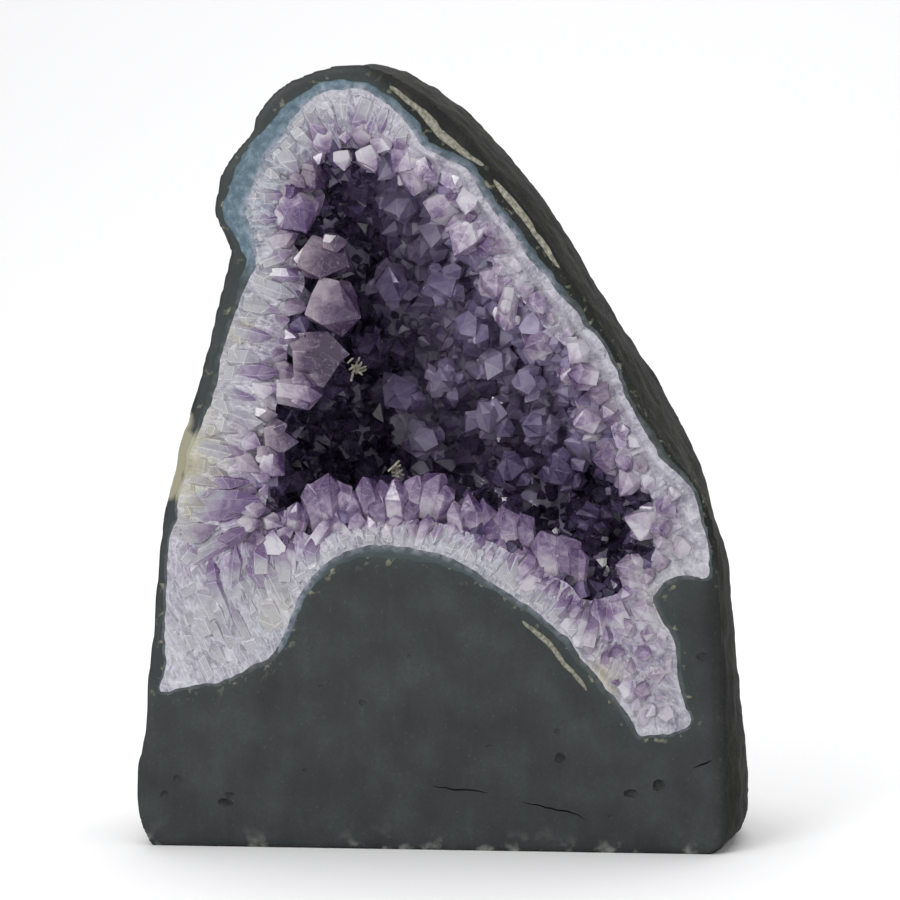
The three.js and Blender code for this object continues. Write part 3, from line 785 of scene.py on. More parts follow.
print("large crystals")
for node in sorted(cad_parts):
    if "crystal" not in node:
        continue
    co = (meshPoints(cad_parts[node].data) - np.array([0, faceY, 0])) / mm
    middle = (co.min(0) + co.max(0)) / 2
    aim = np.array([layerShape["heart"][0], 10.0, layerShape["heart"][1]])
    tip = co[np.argmax((co - middle) @ (aim - middle))]
    axis = unit(tip - co.mean(0))
    run = (co - tip) @ axis
    radius = np.linalg.norm(co - tip - np.outer(run, axis), axis=1).max()
    length = -run.min()
    rng = np.random.default_rng(sum(map(ord, node)))
    isWall = node.startswith("wall")
    look = next(clusterLook[key] for key in sorted(clusterLook, reverse=True) if node.startswith(key))
    # for the wall clusters the tone holds painted shade: deeper under the left side and along the bottom of
    # the hollow
    tone = hollowToneAndShade(tip) + 0.1 * rng.random() if isWall else look["violet"] + 0.15 * rng.random()
    axis = unit(axis + np.array([0, -look["lean"], 0]))
    across = unit(np.cross(axis, rng.normal(0, 1, 3) if look["around"] else (0, 1, 0)))
    cluster = [(tip, axis, radius * look["main"], min(length, 20.0), rng, 0.9, tone)]
    for turn in look["turns"]:
        aside = across * math.cos(turn) + np.cross(axis, across) * math.sin(turn)
        small = radius * look["others"] * (0.8 + 0.4 * rng.random())
        beside = tip + aside * radius * 0.8 - axis * look["setBack"] * (0.4 + 0.8 * rng.random()) * radius
        way = axis + aside * look["spread"] * rng.random()
        shade = tone * (0.75 + 0.4 * rng.random())
        cluster.append((beside, way, small, small * look["length"], rng, 1.0, shade))
    for entry in cluster:
        entry[0][1] = max(entry[0][1], 0.6)
    crystalPiece(node + "_grown", cluster, [node], 0.45, look["mauve"], 1.0 if isWall else 0.3)


# ---- agate rind

# where quartz shows through the shell: x, z, radius, amount
bareSpots = [(-103, 152, 12, 1.0), (-99, 163, 8, 0.8), (-104, 140, 9, 0.8)]


def rindDepth(flat):
    return 0.05 + 0.04 * cloud(flatToSpace(flat), 2.5, 31)


print("agate")
points, faces, _ = layerSolid(rindLoop, quartzLoop, nodeDepth("agate_rind"),
                              nodeDepth("quartz_layer") + 0.3, bandStep, rindDepth)
flat = points[:, [0, 2]]
fromRock = nearest(flat, rindLoop)[0]
toQuartz = nearest(flat, quartzLoop)[0]
thinRight = smoothStep(44, 52, flat[:, 0])
thinLeft = (1 - smoothStep(212, 226, flat[:, 1])) * (flat[:, 0] < -60)
thinBelow = 0.6 * smoothStep(-52, -38, flat[:, 0]) * (1 - smoothStep(112, 122, flat[:, 1]))
agate = makePiece("agate_band", inMetres(points), faces, stands=["agate_rind"], attributes={
    "inner": toQuartz, "outer": fromRock, "bare": spotted(flat, bareSpots),
    "blue": smoothStep(20, -50, flat[:, 0]) * smoothStep(190, 225, flat[:, 1]),
    "thin": np.maximum.reduce([thinRight, thinLeft, thinBelow])})
tidyNormals(agate.data)


# ---- basalt

rockLook = {
    "voxel": 1.7,  # between the points of its mesh
    "lump": (1.6, 34.0),  # height and breadth of the large lumps on the broken outside
    "knob": (0.8, 11.0),  # of the knobs on the lumps
    "grain": (0.45, 3.6),  # and of the grain on the knobs
    "pits": [(-28, 56, 1.2), (-80, 17, 2.2), (-79, 20, 1.3), (46, 46, 1.1), (47, 36, 1.8), (84, 26.5, 2.4),
             (74, 22.5, 1.9), (100, 75, 1.5), (-99, 26, 1.2), (-104, 20, 1.3), (20, 40, 0.7), (-50, 30, 0.8),
             (-10, 74, 0.7), (-44, 62, 0.6), (66, 14, 0.9)],
    "cracks": [[(-2, 25), (6, 23.5), (13, 23.4), (20, 22)], [(32, 19), (42, 17), (50, 15.5), (57, 13)],
               [(97, 33), (101, 34.5), (104, 36)]],
}


def cutterSolid(loop, front, back):
    # a prism of an outline between two depths
    n = len(loop)
    points = np.vstack([flatToSpace(loop, front), flatToSpace(loop, back)])
    faces = [tuple(range(n)), tuple(range(2 * n - 1, n - 1, -1))] + [
        (i, n + i, n + (i + 1) % n, (i + 1) % n) for i in range(n)]
    return points, faces


def outward(loop):
    # unit steps away from an anticlockwise outline
    ahead = np.roll(loop, -1, 0) - np.roll(loop, 1, 0)
    return np.column_stack([ahead[:, 1], -ahead[:, 0]]) / np.linalg.norm(ahead, axis=1)[:, None]


seamNodes = [n for n in sorted(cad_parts) if n.startswith("calcite")]
seamLoops = {n: naturalLoop(faceLoops(n)[0], 0.8 * rough, 0.5) for n in seamNodes}


def outerSkin():
    # the CAD shell's outside alone, closed over the sawn face
    work = bmesh.new()
    work.from_mesh(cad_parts["basalt_shell"].data)
    bmesh.ops.remove_doubles(work, verts=work.verts, dist=0.02 * mm)
    onFace = [f for f in work.faces if all(abs(v.co.y - faceY) < 0.03 * mm for v in f.verts)]
    bmesh.ops.delete(work, geom=onFace, context="FACES_ONLY")
    lowest = min(work.verts, key=lambda v: v.co.z)
    kept, todo = {lowest}, [lowest]
    while todo:
        for edge in todo.pop().link_edges:
            for vert in edge.verts:
                if vert not in kept and edge.link_faces:
                    kept.add(vert)
                    todo.append(vert)
    bmesh.ops.delete(work, geom=[v for v in work.verts if v not in kept], context="VERTS")
    rim = [e for e in work.edges if len(e.link_faces) == 1]
    bmesh.ops.contextual_create(work, geom=rim)
    bmesh.ops.triangulate(work, faces=[f for f in work.faces if len(f.verts) > 4])
    bmesh.ops.recalc_face_normals(work, faces=work.faces)
    # blocks that fill the seams' slots, which are cut again later
    for loop in seamLoops.values():
        middle = loop.mean(0)
        points, faces = cutterSolid(middle + (loop - middle) * 1.05 + 1.6 * outward(loop), 0.3, 9.0)
        made = [work.verts.new(p) for p in inMetres(points)]
        for face in faces:
            work.faces.new([made[i] for i in face])
    mesh = bpy.data.meshes.new("skin")
    work.to_mesh(mesh)
    work.free()
    return mesh


print("basalt")
skin = outerSkin()
rock = bpy.data.objects.new("basalt_rock", skin)
bpy.context.scene.collection.objects.link(rock)
remesh = rock.modifiers.new("even mesh", "REMESH")
remesh.mode, remesh.voxel_size, remesh.use_smooth_shade = "VOXEL", rockLook["voxel"] * rough * mm, True
bakeModifiers(rock)
co = meshPoints(rock.data)
normals = np.empty(len(co) * 3)
rock.data.vertices.foreach_get("normal", normals)
normals = normals.reshape(-1, 3)
place = (co - np.array([0, faceY, 0])) / mm
sawn = 1 - smoothStep(0.4, 3.0, place[:, 1])
under = 1 - smoothStep(0.3, 2.5, place[:, 2])
loose = (1 - sawn) * (1 - under)
push = np.zeros(len(co))
for (height, size), seed in zip((rockLook["lump"], rockLook["knob"], rockLook["grain"]), (41, 42, 43)):
    push += height * (cloud(place, size, seed) - 0.35)
setPoints(rock.data, co + normals * (push * loose * mm)[:, None])
print(len(co), "points on the rock")


def cutAway(piece, name, parts):
    # takes solids, each given as points and faces, away from a piece
    allPoints, allFaces, total = [], [], 0
    for points, faces in parts:
        allPoints.append(points)
        allFaces += [tuple(i + total for i in f) for f in faces]
        total += len(points)
    mesh = bpy.data.meshes.new(name)
    mesh.from_pydata([tuple(p) for p in inMetres(np.vstack(allPoints))], [], allFaces)
    tidyNormals(mesh)
    cutter = bpy.data.objects.new(name, mesh)
    bpy.context.scene.collection.objects.link(cutter)
    cut = piece.modifiers.new(name, "BOOLEAN")
    cut.operation, cut.object, cut.solver = "DIFFERENCE", cutter, "MANIFOLD"
    bakeModifiers(piece)
    bpy.data.objects.remove(cutter)


# the hollow in the rock, from in front of the face
mouthRing = flatToSpace(rindLoop, 0.0)
rings = [flatToSpace(rindLoop, -3.0), mouthRing] + cup(mouthRing, nodeDepth("agate_rind") + 0.3, 12)
n = len(rindLoop)
points = np.vstack(rings + [rings[-1].mean(0)[None]])
faces = [tuple(range(n))]
for r in range(len(rings) - 1):
    faces += stitch(range(r * n, (r + 1) * n), range((r + 1) * n, (r + 2) * n))
last = (len(rings) - 1) * n
faces += [(last + i, len(points) - 1, last + (i + 1) % n) for i in range(n)]
cutAway(rock, "hollowCut", [(points, faces)])


def blob(x, z, radius, rng):
    # a ragged pit cutter
    work = bmesh.new()
    bmesh.ops.create_icosphere(work, subdivisions=2, radius=1)
    co = np.array([v.co for v in work.verts])
    faces = [tuple(v.index for v in f.verts) for f in work.faces]
    work.free()
    reach = 1 + 0.35 * cloud(co + rng.random(3) * 50, 0.8, 51)
    scale = np.array([1 + 0.5 * rng.random(), 0.55, 0.8 + 0.3 * rng.random()]) * radius
    return co * reach[:, None] * scale + np.array([x, 0, z]), faces


def crackSolid(path, width, rng):
    # a thin wedge that follows a path over the face
    path = np.array(path, float)
    t = np.linspace(0, len(path) - 1, 22)
    line = np.column_stack([np.interp(t, range(len(path)), path[:, k]) for k in (0, 1)])
    line += 0.35 * np.column_stack([cloud(flatToSpace(line), 2.0, 61), cloud(flatToSpace(line), 2.0, 62)])
    ahead = np.gradient(line, axis=0)
    side = np.column_stack([-ahead[:, 1], ahead[:, 0]]) / np.linalg.norm(ahead, axis=1)[:, None]
    half = width / 2 * np.sin(np.linspace(0.12, math.pi - 0.12, len(line)))[:, None]
    return cutterSolid(np.vstack([line + side * half, (line - side * half)[::-1]]), -1.0, 1.1)


pitRng = np.random.default_rng(6)
cutAway(rock, "pits", [blob(x, z, radius, pitRng) for x, z, radius in rockLook["pits"]])
cutAway(rock, "cracks", [crackSolid(path, 0.7, pitRng) for path in rockLook["cracks"]])
cutAway(rock, "seams", [cutterSolid(loop, -1.0, 6.0) for loop in seamLoops.values()])

co = meshPoints(rock.data)
place = (co - np.array([0, faceY, 0])) / mm
# the upper right margin of the face and the right edge lower down take the broken outside's darker, rougher
# look: painted shade where the side turns from the light
shadedRightStrip = smoothStep(-6, 2, place[:, 0] - (-15 + (284 - place[:, 2]) * 0.69))
shadedRightStrip = shadedRightStrip * smoothStep(98, 108, place[:, 2])
shadedRightStrip = np.maximum(shadedRightStrip, 0.7 * smoothStep(97, 105, place[:, 0] - 0.06 * (100 - place[:, 2])))
# sawn drops along the right strip, which paints shade there
for key, values in {"sawn": (1 - smoothStep(0.2, 1.6, place[:, 1])) * (1 - 0.85 * shadedRightStrip),
                    "nearRind": np.exp(-nearest(place[:, [0, 2]], rindLoop)[0] / 1.6),
                    "nearBase": np.exp(-place[:, 2] / 3.0),
                    "bare": spotted(place[:, [0, 2]], bareSpots) * (place[:, 1] < 25)}.items():
    made = rock.data.attributes.new(key, "FLOAT", "POINT")
    made.data.foreach_set("value", values.astype(np.float32))
rock.data.polygons.foreach_set("use_smooth", [True] * len(rock.data.polygons))
rock.data.set_sharp_from_angle(angle=math.radians(38))
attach(rock, "root")
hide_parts("basalt_shell")

print("calcite")
for node, loop in seamLoops.items():
    flat, faces, _ = patch(loop, None, 0.8 * rough)
    fromEdge = nearest(flat, loop)[0]
    depth = 0.35 - 0.3 * smoothStep(0, 0.9, fromEdge) + 0.12 * cloud(flatToSpace(flat), 1.4, 71)
    front = np.column_stack([flat[:, 0], depth, flat[:, 1]])
    back = flatToSpace(loop, 5.9)
    n = len(loop)
    ring, backRing = range(n), range(len(front), len(front) + n)
    faces = [tuple(f) for f in faces] + stitch(ring, backRing) + [tuple(backRing)[::-1]]
    points = inMetres(np.vstack([front, back]))
    seam = makePiece(node + "_crystalline", points, faces, stands=[node])
    tidyNormals(seam.data)


# ---- materials

def colour(code):
    # an sRGB hex colour as linear red, green, blue and alpha
    values = [int(code[i:i + 2], 16) / 255 for i in (1, 3, 5)]
    return [v / 12.92 if v <= 0.04045 else ((v + 0.055) / 1.055) ** 2.4 for v in values] + [1.0]


def newMaterial(name):
    material = bpy.data.materials.new(name)
    material.use_nodes = True
    material.node_tree.nodes.clear()
    return material, material.node_tree


def add(tree, kind, inputs=None, stops=None, out=0, **settings):
    # one node with its settings, its values or links, and its ramp's stops; gives the output asked for
    node = tree.nodes.new("ShaderNode" + kind)
    for key, value in settings.items():
        setattr(node, key, value)
    for key, value in (inputs or {}).items():
        if isinstance(value, bpy.types.NodeSocket):
            tree.links.new(value, node.inputs[key])
        else:
            node.inputs[key].default_value = value
    if stops:
        ramp = node.color_ramp
        while len(ramp.elements) < len(stops):
            ramp.elements.new(0.5)
        for element, (position, shade) in zip(ramp.elements, stops):
            element.position, element.color = position, shade
    return node.outputs[out] if node.outputs else None


def amethystMaterial(name, look):
    # Amethyst, natural crystal faces: glassy, with cloudy pale roots and violet that gathers in the points
    material, tree = newMaterial(name)
    read = {key: add(tree, "Attribute", attribute_name=key, out="Fac") for key in (
        "grow", "chance", "violet", "mauve", "facet")}
    place = add(tree, "TexCoord", out="Object")
    # colour gathers in zones a few mm across; their strong light and dark also stand for light turned back
    # inside the crystals, a painted reflection
    zonesAndReflections = add(tree, "TexNoise", {"Vector": place, "Scale": 1 / (look["zone"] * mm), "Detail": 4.0,
                                   "Roughness": 0.6, "Distortion": 0.8})
    mix = add(tree, "Math", {0: read["grow"], 1: look["tipShare"], 2: read["violet"]},
              operation="MULTIPLY_ADD")
    mix = add(tree, "Math", {0: zonesAndReflections, 1: look["mottle"], 2: mix}, operation="MULTIPLY_ADD")
    mix = add(tree, "Math", {0: read["chance"], 1: 0.3, 2: mix}, operation="MULTIPLY_ADD")
    # light turned back inside a crystal makes each face a shade of its own
    mix = add(tree, "Math", {0: read["facet"], 1: look["facets"], 2: mix}, operation="MULTIPLY_ADD")
    shift = look["shift"] + look["facets"] / 2 + look["mottle"] / 2 - 0.35
    mix = add(tree, "Math", {0: mix, 1: shift}, operation="SUBTRACT")
    body = add(tree, "ValToRGB", {"Fac": mix}, stops=[
        (0.0, colour(look["root"])), (0.35, colour(look["pale"])), (0.65, colour(look["mid"])),
        (1.0, colour(look["deep"]))])
    dusk = add(tree, "ValToRGB", {"Fac": mix}, stops=[
        (0.0, colour(look["duskPale"])), (1.0, colour(look["duskDeep"]))])
    body = add(tree, "Mix", {0: read["mauve"], 6: body, 7: dusk}, data_type="RGBA", out=2)
    # healed fractures inside show as a few white veils
    veils = add(tree, "TexNoise", {"Vector": place, "Scale": 1 / (look["veil"] * mm), "Detail": 4.0,
                                   "Distortion": 2.0})
    veils = add(tree, "ValToRGB", {"Fac": veils}, stops=[
        (0.54, (0, 0, 0, 1)), (0.56, (1, 1, 1, 1)), (0.58, (0, 0, 0, 1))])
    veils = add(tree, "Math", {0: veils, 1: look["veils"]}, operation="MULTIPLY")
    body = add(tree, "Mix", {0: veils, 6: body, 7: colour(look["white"])}, data_type="RGBA", out=2)
    # low growth hills on the faces, drawn 2.5 mm apart
    hills = add(tree, "TexNoise", {"Vector": place, "Scale": 1 / (2.5 * mm), "Detail": 2.0})
    bump = add(tree, "Bump", {"Height": hills, "Strength": look["bump"], "Distance": 0.4 * mm})
    polish = add(tree, "MapRange", {"Value": zonesAndReflections, "To Min": look["gloss"][0], "To Max": look["gloss"][1]})
    shader = add(tree, "BsdfPrincipled", {
        "Base Color": body, "Roughness": polish, "IOR": 1.544, "Normal": bump,
        "Subsurface Weight": look["subsurface"], "Subsurface Radius": (0.8, 0.55, 1.0),
        "Subsurface Scale": 3.0 * mm, "Specular IOR Level": look["shine"],
        "Coat Weight": look["coat"], "Coat Roughness": 0.04, "Transmission Weight": look["clear"]})
    add(tree, "OutputMaterial", {"Surface": shader})
    return material


# colours from the cloudy root to the deep point, pale and deep in the dusky ones, and the veils;
# zone and veil in mm; shift moves the whole towards the root, clear is how much light passes through
mouthLook = {
    "root": "#e4e1ea", "pale": "#c3b7cc", "mid": "#957da4", "deep": "#604678", "duskPale": "#9c8796",
    "duskDeep": "#3f2d47", "white": "#dcd6e4", "zone": 5.0, "mottle": 1.5, "veil": 7.0, "veils": 0.25,
    "shift": 0.83, "tipShare": 0.5, "facets": 0.4, "bump": 0.6, "gloss": (0.12, 0.36), "subsurface": 0.1,
    "shine": 0.6, "coat": 0.25, "clear": 0.3,
}
bladeColours = {
    **mouthLook, "root": "#c9c8cf", "pale": "#aeacba", "mid": "#9a86a9", "deep": "#6f5385",
    "duskPale": "#bdb89c", "duskDeep": "#a9a483", "mottle": 1.3, "shift": 0.7, "facets": 0.35,
    "gloss": (0.12, 0.4), "coat": 0.15, "clear": 0.35,
}
edgeColours = {
    **bladeColours, "root": "#d3d2d9", "pale": "#bfbdc9", "mid": "#ab9cb8", "deep": "#8d79a0",
    "duskPale": "#c6c3ad", "gloss": (0.2, 0.5), "mottle": 0.6, "clear": 0.0,
}
hollowLook = {
    "root": "#bab2cc", "pale": "#988bb2", "mid": "#6f5f8a", "deep": "#2c2540", "duskPale": "#857b96",
    "duskDeep": "#332b40", "white": "#a39bb8", "zone": 6.0, "mottle": 1.0, "veil": 8.0, "veils": 0.3,
    "shift": 0.7, "tipShare": 0.2, "facets": 0.4, "bump": 0.4, "gloss": (0.06, 0.3), "subsurface": 0.0,
    "shine": 0.6, "coat": 0.2, "clear": 0.3,
}
mouthAmethyst = amethystMaterial("amethyst, natural points at the mouth", mouthLook)
bladeQuartz = amethystMaterial("quartz, columns broken along their length", bladeColours)
bladeEdges = amethystMaterial("quartz, chipped along its edges", edgeColours)
hollowAmethyst = amethystMaterial("amethyst, natural points in the hollow", hollowLook)


# layers of colour in the order they are laid on; milky and purple run from dark to light
bandColours = {
    "milky": ("#716e80", "#918f9b", "#b0afb8"), "purple": ("#452f5a", "#6d5482", "#9380a3"),
    # cfced8 is partly the grains' own colour and partly painted glints; #6c6680 is painted shade where the
    # frost relief sinks
    "blue": "#7b8d9c", "fibres": "#c2c0ca", "frost": "#cfced8", "frostShade": "#6c6680", "cream": "#bcb89c",
    "splits": "#d4d2dc", "seams": "#d9d8df", "stain": "#8a7a4e",
}


def shadeStops(places, shades):
    return [(place, colour(shade)) for place, shade in zip(places, shades)]


def bandMaterial(name):
    # Quartz, sawn and broken across its columns: milky, with white fibres along each column, white
    # boundaries between them and violet towards the hollow
    material, tree = newMaterial(name)
    read = {key: add(tree, "Attribute", attribute_name=key, out="Fac") for key in (
        "grow", "chance", "edge", "violet", "cream", "stain", "blue", "lumpy")}
    strand = add(tree, "Attribute", attribute_name="strand", out="Vector")
    place = add(tree, "TexCoord", out="Object")
    # fibres 0.4 mm apart, ten times as long
    fibreSpace = add(tree, "Mapping", {"Vector": strand, "Scale": (0.8, 0.1, 1.0)})
    fibres = add(tree, "TexNoise", {"Vector": fibreSpace, "Scale": 1.0, "Detail": 4.0, "Roughness": 0.6})
    # cracks that split each column lengthwise, about 3 mm apart
    splitSpace = add(tree, "Mapping", {"Vector": strand, "Scale": (0.3, 0.06, 1.0)})
    cracks = add(tree, "TexVoronoi", {"Vector": splitSpace, "Scale": 1.0, "Randomness": 1.0},
                 feature="DISTANCE_TO_EDGE")
    blades = add(tree, "TexVoronoi", {"Vector": splitSpace, "Scale": 1.0, "Randomness": 1.0}, out="Color")
    blades = add(tree, "SeparateColor", {0: blades})
    fogs = add(tree, "TexNoise", {"Vector": place, "Scale": 1 / (5 * mm), "Detail": 4.0})
    tone = add(tree, "Math", {0: read["chance"], 1: 0.7, 2: fogs}, operation="MULTIPLY_ADD")
    tone = add(tree, "Math", {0: blades, 1: 0.25, 2: tone}, operation="MULTIPLY_ADD")
    tone = add(tree, "Math", {0: tone, 1: 0.23}, operation="SUBTRACT")
    milky = add(tree, "ValToRGB", {"Fac": tone}, shadeStops((0.2, 0.6, 1.0), bandColours["milky"]))
    purple = add(tree, "ValToRGB", {"Fac": tone}, shadeStops((0.35, 0.6, 0.9), bandColours["purple"]))
    body = add(tree, "Mix", {0: read["violet"], 6: milky, 7: purple}, data_type="RGBA", out=2)
    whites = add(tree, "ValToRGB", {"Fac": fibres}, stops=[
        (0.54, (0, 0, 0, 1)), (0.7, (0.35, 0.35, 0.35, 1))])
    combed = add(tree, "MapRange", {"Value": read["lumpy"], "To Min": 1.0, "To Max": 0.3})
    whites = add(tree, "Math", {0: whites, 1: combed}, operation="MULTIPLY")
    # frost: sugary grains about 1.5 mm across, with a few specks painted white as glints (painted highlight),
    # and painted shade where the same relief sinks
    frost = add(tree, "TexNoise", {"Vector": place, "Scale": 1 / (2.2 * mm), "Detail": 6.0, "Roughness": 0.7,
                                   "Distortion": 0.6})
    frostAndGlints = add(tree, "ValToRGB", {"Fac": frost}, stops=[
        (0.48, (0, 0, 0, 1)), (0.68, (0.7, 0.7, 0.7, 1))])
    # painted shade: darker where the frost relief sinks
    frostShadeMask = add(tree, "ValToRGB", {"Fac": frost}, stops=[
        (0.3, (0.6, 0.6, 0.6, 1)), (0.46, (0, 0, 0, 1))])
    splits = add(tree, "ValToRGB", {"Fac": cracks}, stops=[
        (0.0, (0.5, 0.5, 0.5, 1)), (0.07, (0, 0, 0, 1))])
    splits = add(tree, "Math", {0: splits, 1: combed}, operation="MULTIPLY")
    seams = add(tree, "Math", {0: read["edge"], 1: 0.65}, operation="MULTIPLY")
    masks = {"blue": read["blue"], "fibres": whites, "frost": frostAndGlints, "frostShade": frostShadeMask,
             "cream": read["cream"], "splits": splits, "seams": seams, "stain": read["stain"]}
    for key, mask in masks.items():
        body = add(tree, "Mix", {0: mask, 6: body, 7: colour(bandColours[key])}, data_type="RGBA", out=2)
    height = add(tree, "Math", {0: frost, 1: 1.3, 2: fibres}, operation="MULTIPLY_ADD")
    bump = add(tree, "Bump", {"Height": height, "Strength": 0.7, "Distance": 0.6 * mm})
    polish = add(tree, "MapRange", {"Value": fogs, "To Min": 0.12, "To Max": 0.45})
    shader = add(tree, "BsdfPrincipled", {
        "Base Color": body, "Roughness": polish, "IOR": 1.544, "Normal": bump, "Subsurface Weight": 0.1,
        "Subsurface Radius": (1.0, 0.9, 1.0), "Subsurface Scale": 2.0 * mm, "Specular IOR Level": 0.55,
        "Coat Weight": 0.25, "Coat Roughness": 0.08})
    add(tree, "OutputMaterial", {"Surface": shader})
    return material


quartzMaterial = bandMaterial("milky quartz, sawn across its columns")


basaltColours = {
    # outside: the broken rock, darker partly in its own colour and partly as painted shade of the sides
    "front": ("#262a2b", "#2f3334", "#3a3e3e"), "outside": ("#121310", "#1c1d1a", "#2e2e29"),
    "smears": "#4b5351", "pores": "#080807", "frontPores": "#181b1b", "flecks": "#5a605c", "rim": "#303c3c",
    "crumbs": "#8b8a74", "chips": "#8f918a", "quartz": "#928f7a",
}


def basaltMaterial():
    # Basalt: sawn, painted with a thin sealer in front, so satin and even; broken and dusty elsewhere, and
    # darker there, partly its own colour and partly painted shade of the sides
    material, tree = newMaterial("basalt, sawn and sealed in front, broken outside")
    sawn, nearRind, nearBase, bare = [add(tree, "Attribute", attribute_name=key, out="Fac") for key in (
        "sawn", "nearRind", "nearBase", "bare")]
    place = add(tree, "TexCoord", out="Object")
    # patches 18 mm across, pores and grains about 1 mm across, and faint smears 22 mm tall
    mottle = add(tree, "TexNoise", {"Vector": place, "Scale": 1 / (18 * mm), "Detail": 6.0})
    grain = add(tree, "TexNoise", {"Vector": place, "Scale": 1 / (1.1 * mm), "Detail": 3.0})
    smearSpace = add(tree, "Mapping", {"Vector": place, "Scale": (1 / (4 * mm), 1.0, 1 / (22 * mm))})
    smears = add(tree, "TexNoise", {"Vector": smearSpace, "Scale": 1.0, "Detail": 4.0})
    front = add(tree, "ValToRGB", {"Fac": mottle}, shadeStops((0.3, 0.5, 0.72), basaltColours["front"]))
    light = add(tree, "MapRange", {"Value": smears, "From Min": 0.5, "From Max": 0.8, "To Max": 0.12})
    # the outside colours hold painted shade of the sides as well as the broken rock's own colour
    outside = add(tree, "ValToRGB", {"Fac": mottle}, shadeStops((0.3, 0.55, 0.75), basaltColours["outside"]))
    pores = add(tree, "ValToRGB", {"Fac": grain}, stops=[
        (0.36, (0.65, 0.65, 0.65, 1)), (0.5, (0, 0, 0, 1))])
    frontPores = add(tree, "Math", {0: pores, 1: 0.3}, operation="MULTIPLY")
    outside = add(tree, "Mix", {0: pores, 6: outside, 7: colour(basaltColours["pores"])},
                  data_type="RGBA", out=2)
    for key, mask in {"smears": light, "frontPores": frontPores}.items():
        front = add(tree, "Mix", {0: mask, 6: front, 7: colour(basaltColours[key])},
                    data_type="RGBA", out=2)
    body = add(tree, "Mix", {0: sawn, 6: outside, 7: front}, data_type="RGBA", out=2)
    flecks = add(tree, "ValToRGB", {"Fac": grain}, stops=[
        (0.66, (0, 0, 0, 1)), (0.76, (0.35, 0.35, 0.35, 1))])
    rim = add(tree, "Math", {0: nearRind, 1: sawn}, operation="MULTIPLY")
    rim = add(tree, "Math", {0: rim, 1: 0.6}, operation="MULTIPLY")
    # calcite crumbs beside the rind, and pale chips along the foot
    crumbs = add(tree, "TexNoise", {"Vector": place, "Scale": 1 / (3.2 * mm), "Detail": 3.0})
    crumbs = add(tree, "MapRange", {"Value": crumbs, "From Min": 0.6, "From Max": 0.68})
    crumbs = add(tree, "Math", {0: crumbs, 1: nearRind}, operation="MULTIPLY")
    chips = add(tree, "TexNoise", {"Vector": place, "Scale": 1 / (7 * mm), "Detail": 5.0})
    chips = add(tree, "MapRange", {"Value": chips, "From Min": 0.55, "From Max": 0.7})
    chips = add(tree, "Math", {0: chips, 1: nearBase}, operation="MULTIPLY")
    # quartz bared at the left edge
    quartzy = add(tree, "Math", {0: mottle, 1: 0.6, 2: bare}, operation="MULTIPLY_ADD")
    quartzy = add(tree, "MapRange", {"Value": quartzy, "From Min": 0.6, "From Max": 0.74})
    masks = {"flecks": flecks, "rim": rim, "crumbs": crumbs, "chips": chips, "quartz": quartzy}
    for key, mask in masks.items():
        body = add(tree, "Mix", {0: mask, 6: body, 7: colour(basaltColours[key])}, data_type="RGBA", out=2)
    grit = add(tree, "MapRange", {"Value": sawn, "To Min": 0.9, "To Max": 0.18})
    bump = add(tree, "Bump", {"Height": grain, "Strength": grit, "Distance": 0.5 * mm})
    polish = add(tree, "MapRange", {"Value": sawn, "To Min": 0.88, "To Max": 0.52})
    shader = add(tree, "BsdfPrincipled", {
        "Base Color": body, "Roughness": polish, "IOR": 1.55, "Normal": bump, "Specular IOR Level": 0.3})
    add(tree, "OutputMaterial", {"Surface": shader})
    return material


agateColours = {
    "slate": ("#2b3a3e", "#3b4c55", "#566872"), "azure": ("#465a65", "#5a707d", "#7c8f9b"),
    "dark": "#27312f", "milk": "#9b9cab", "bare": "#a5a38c",
}


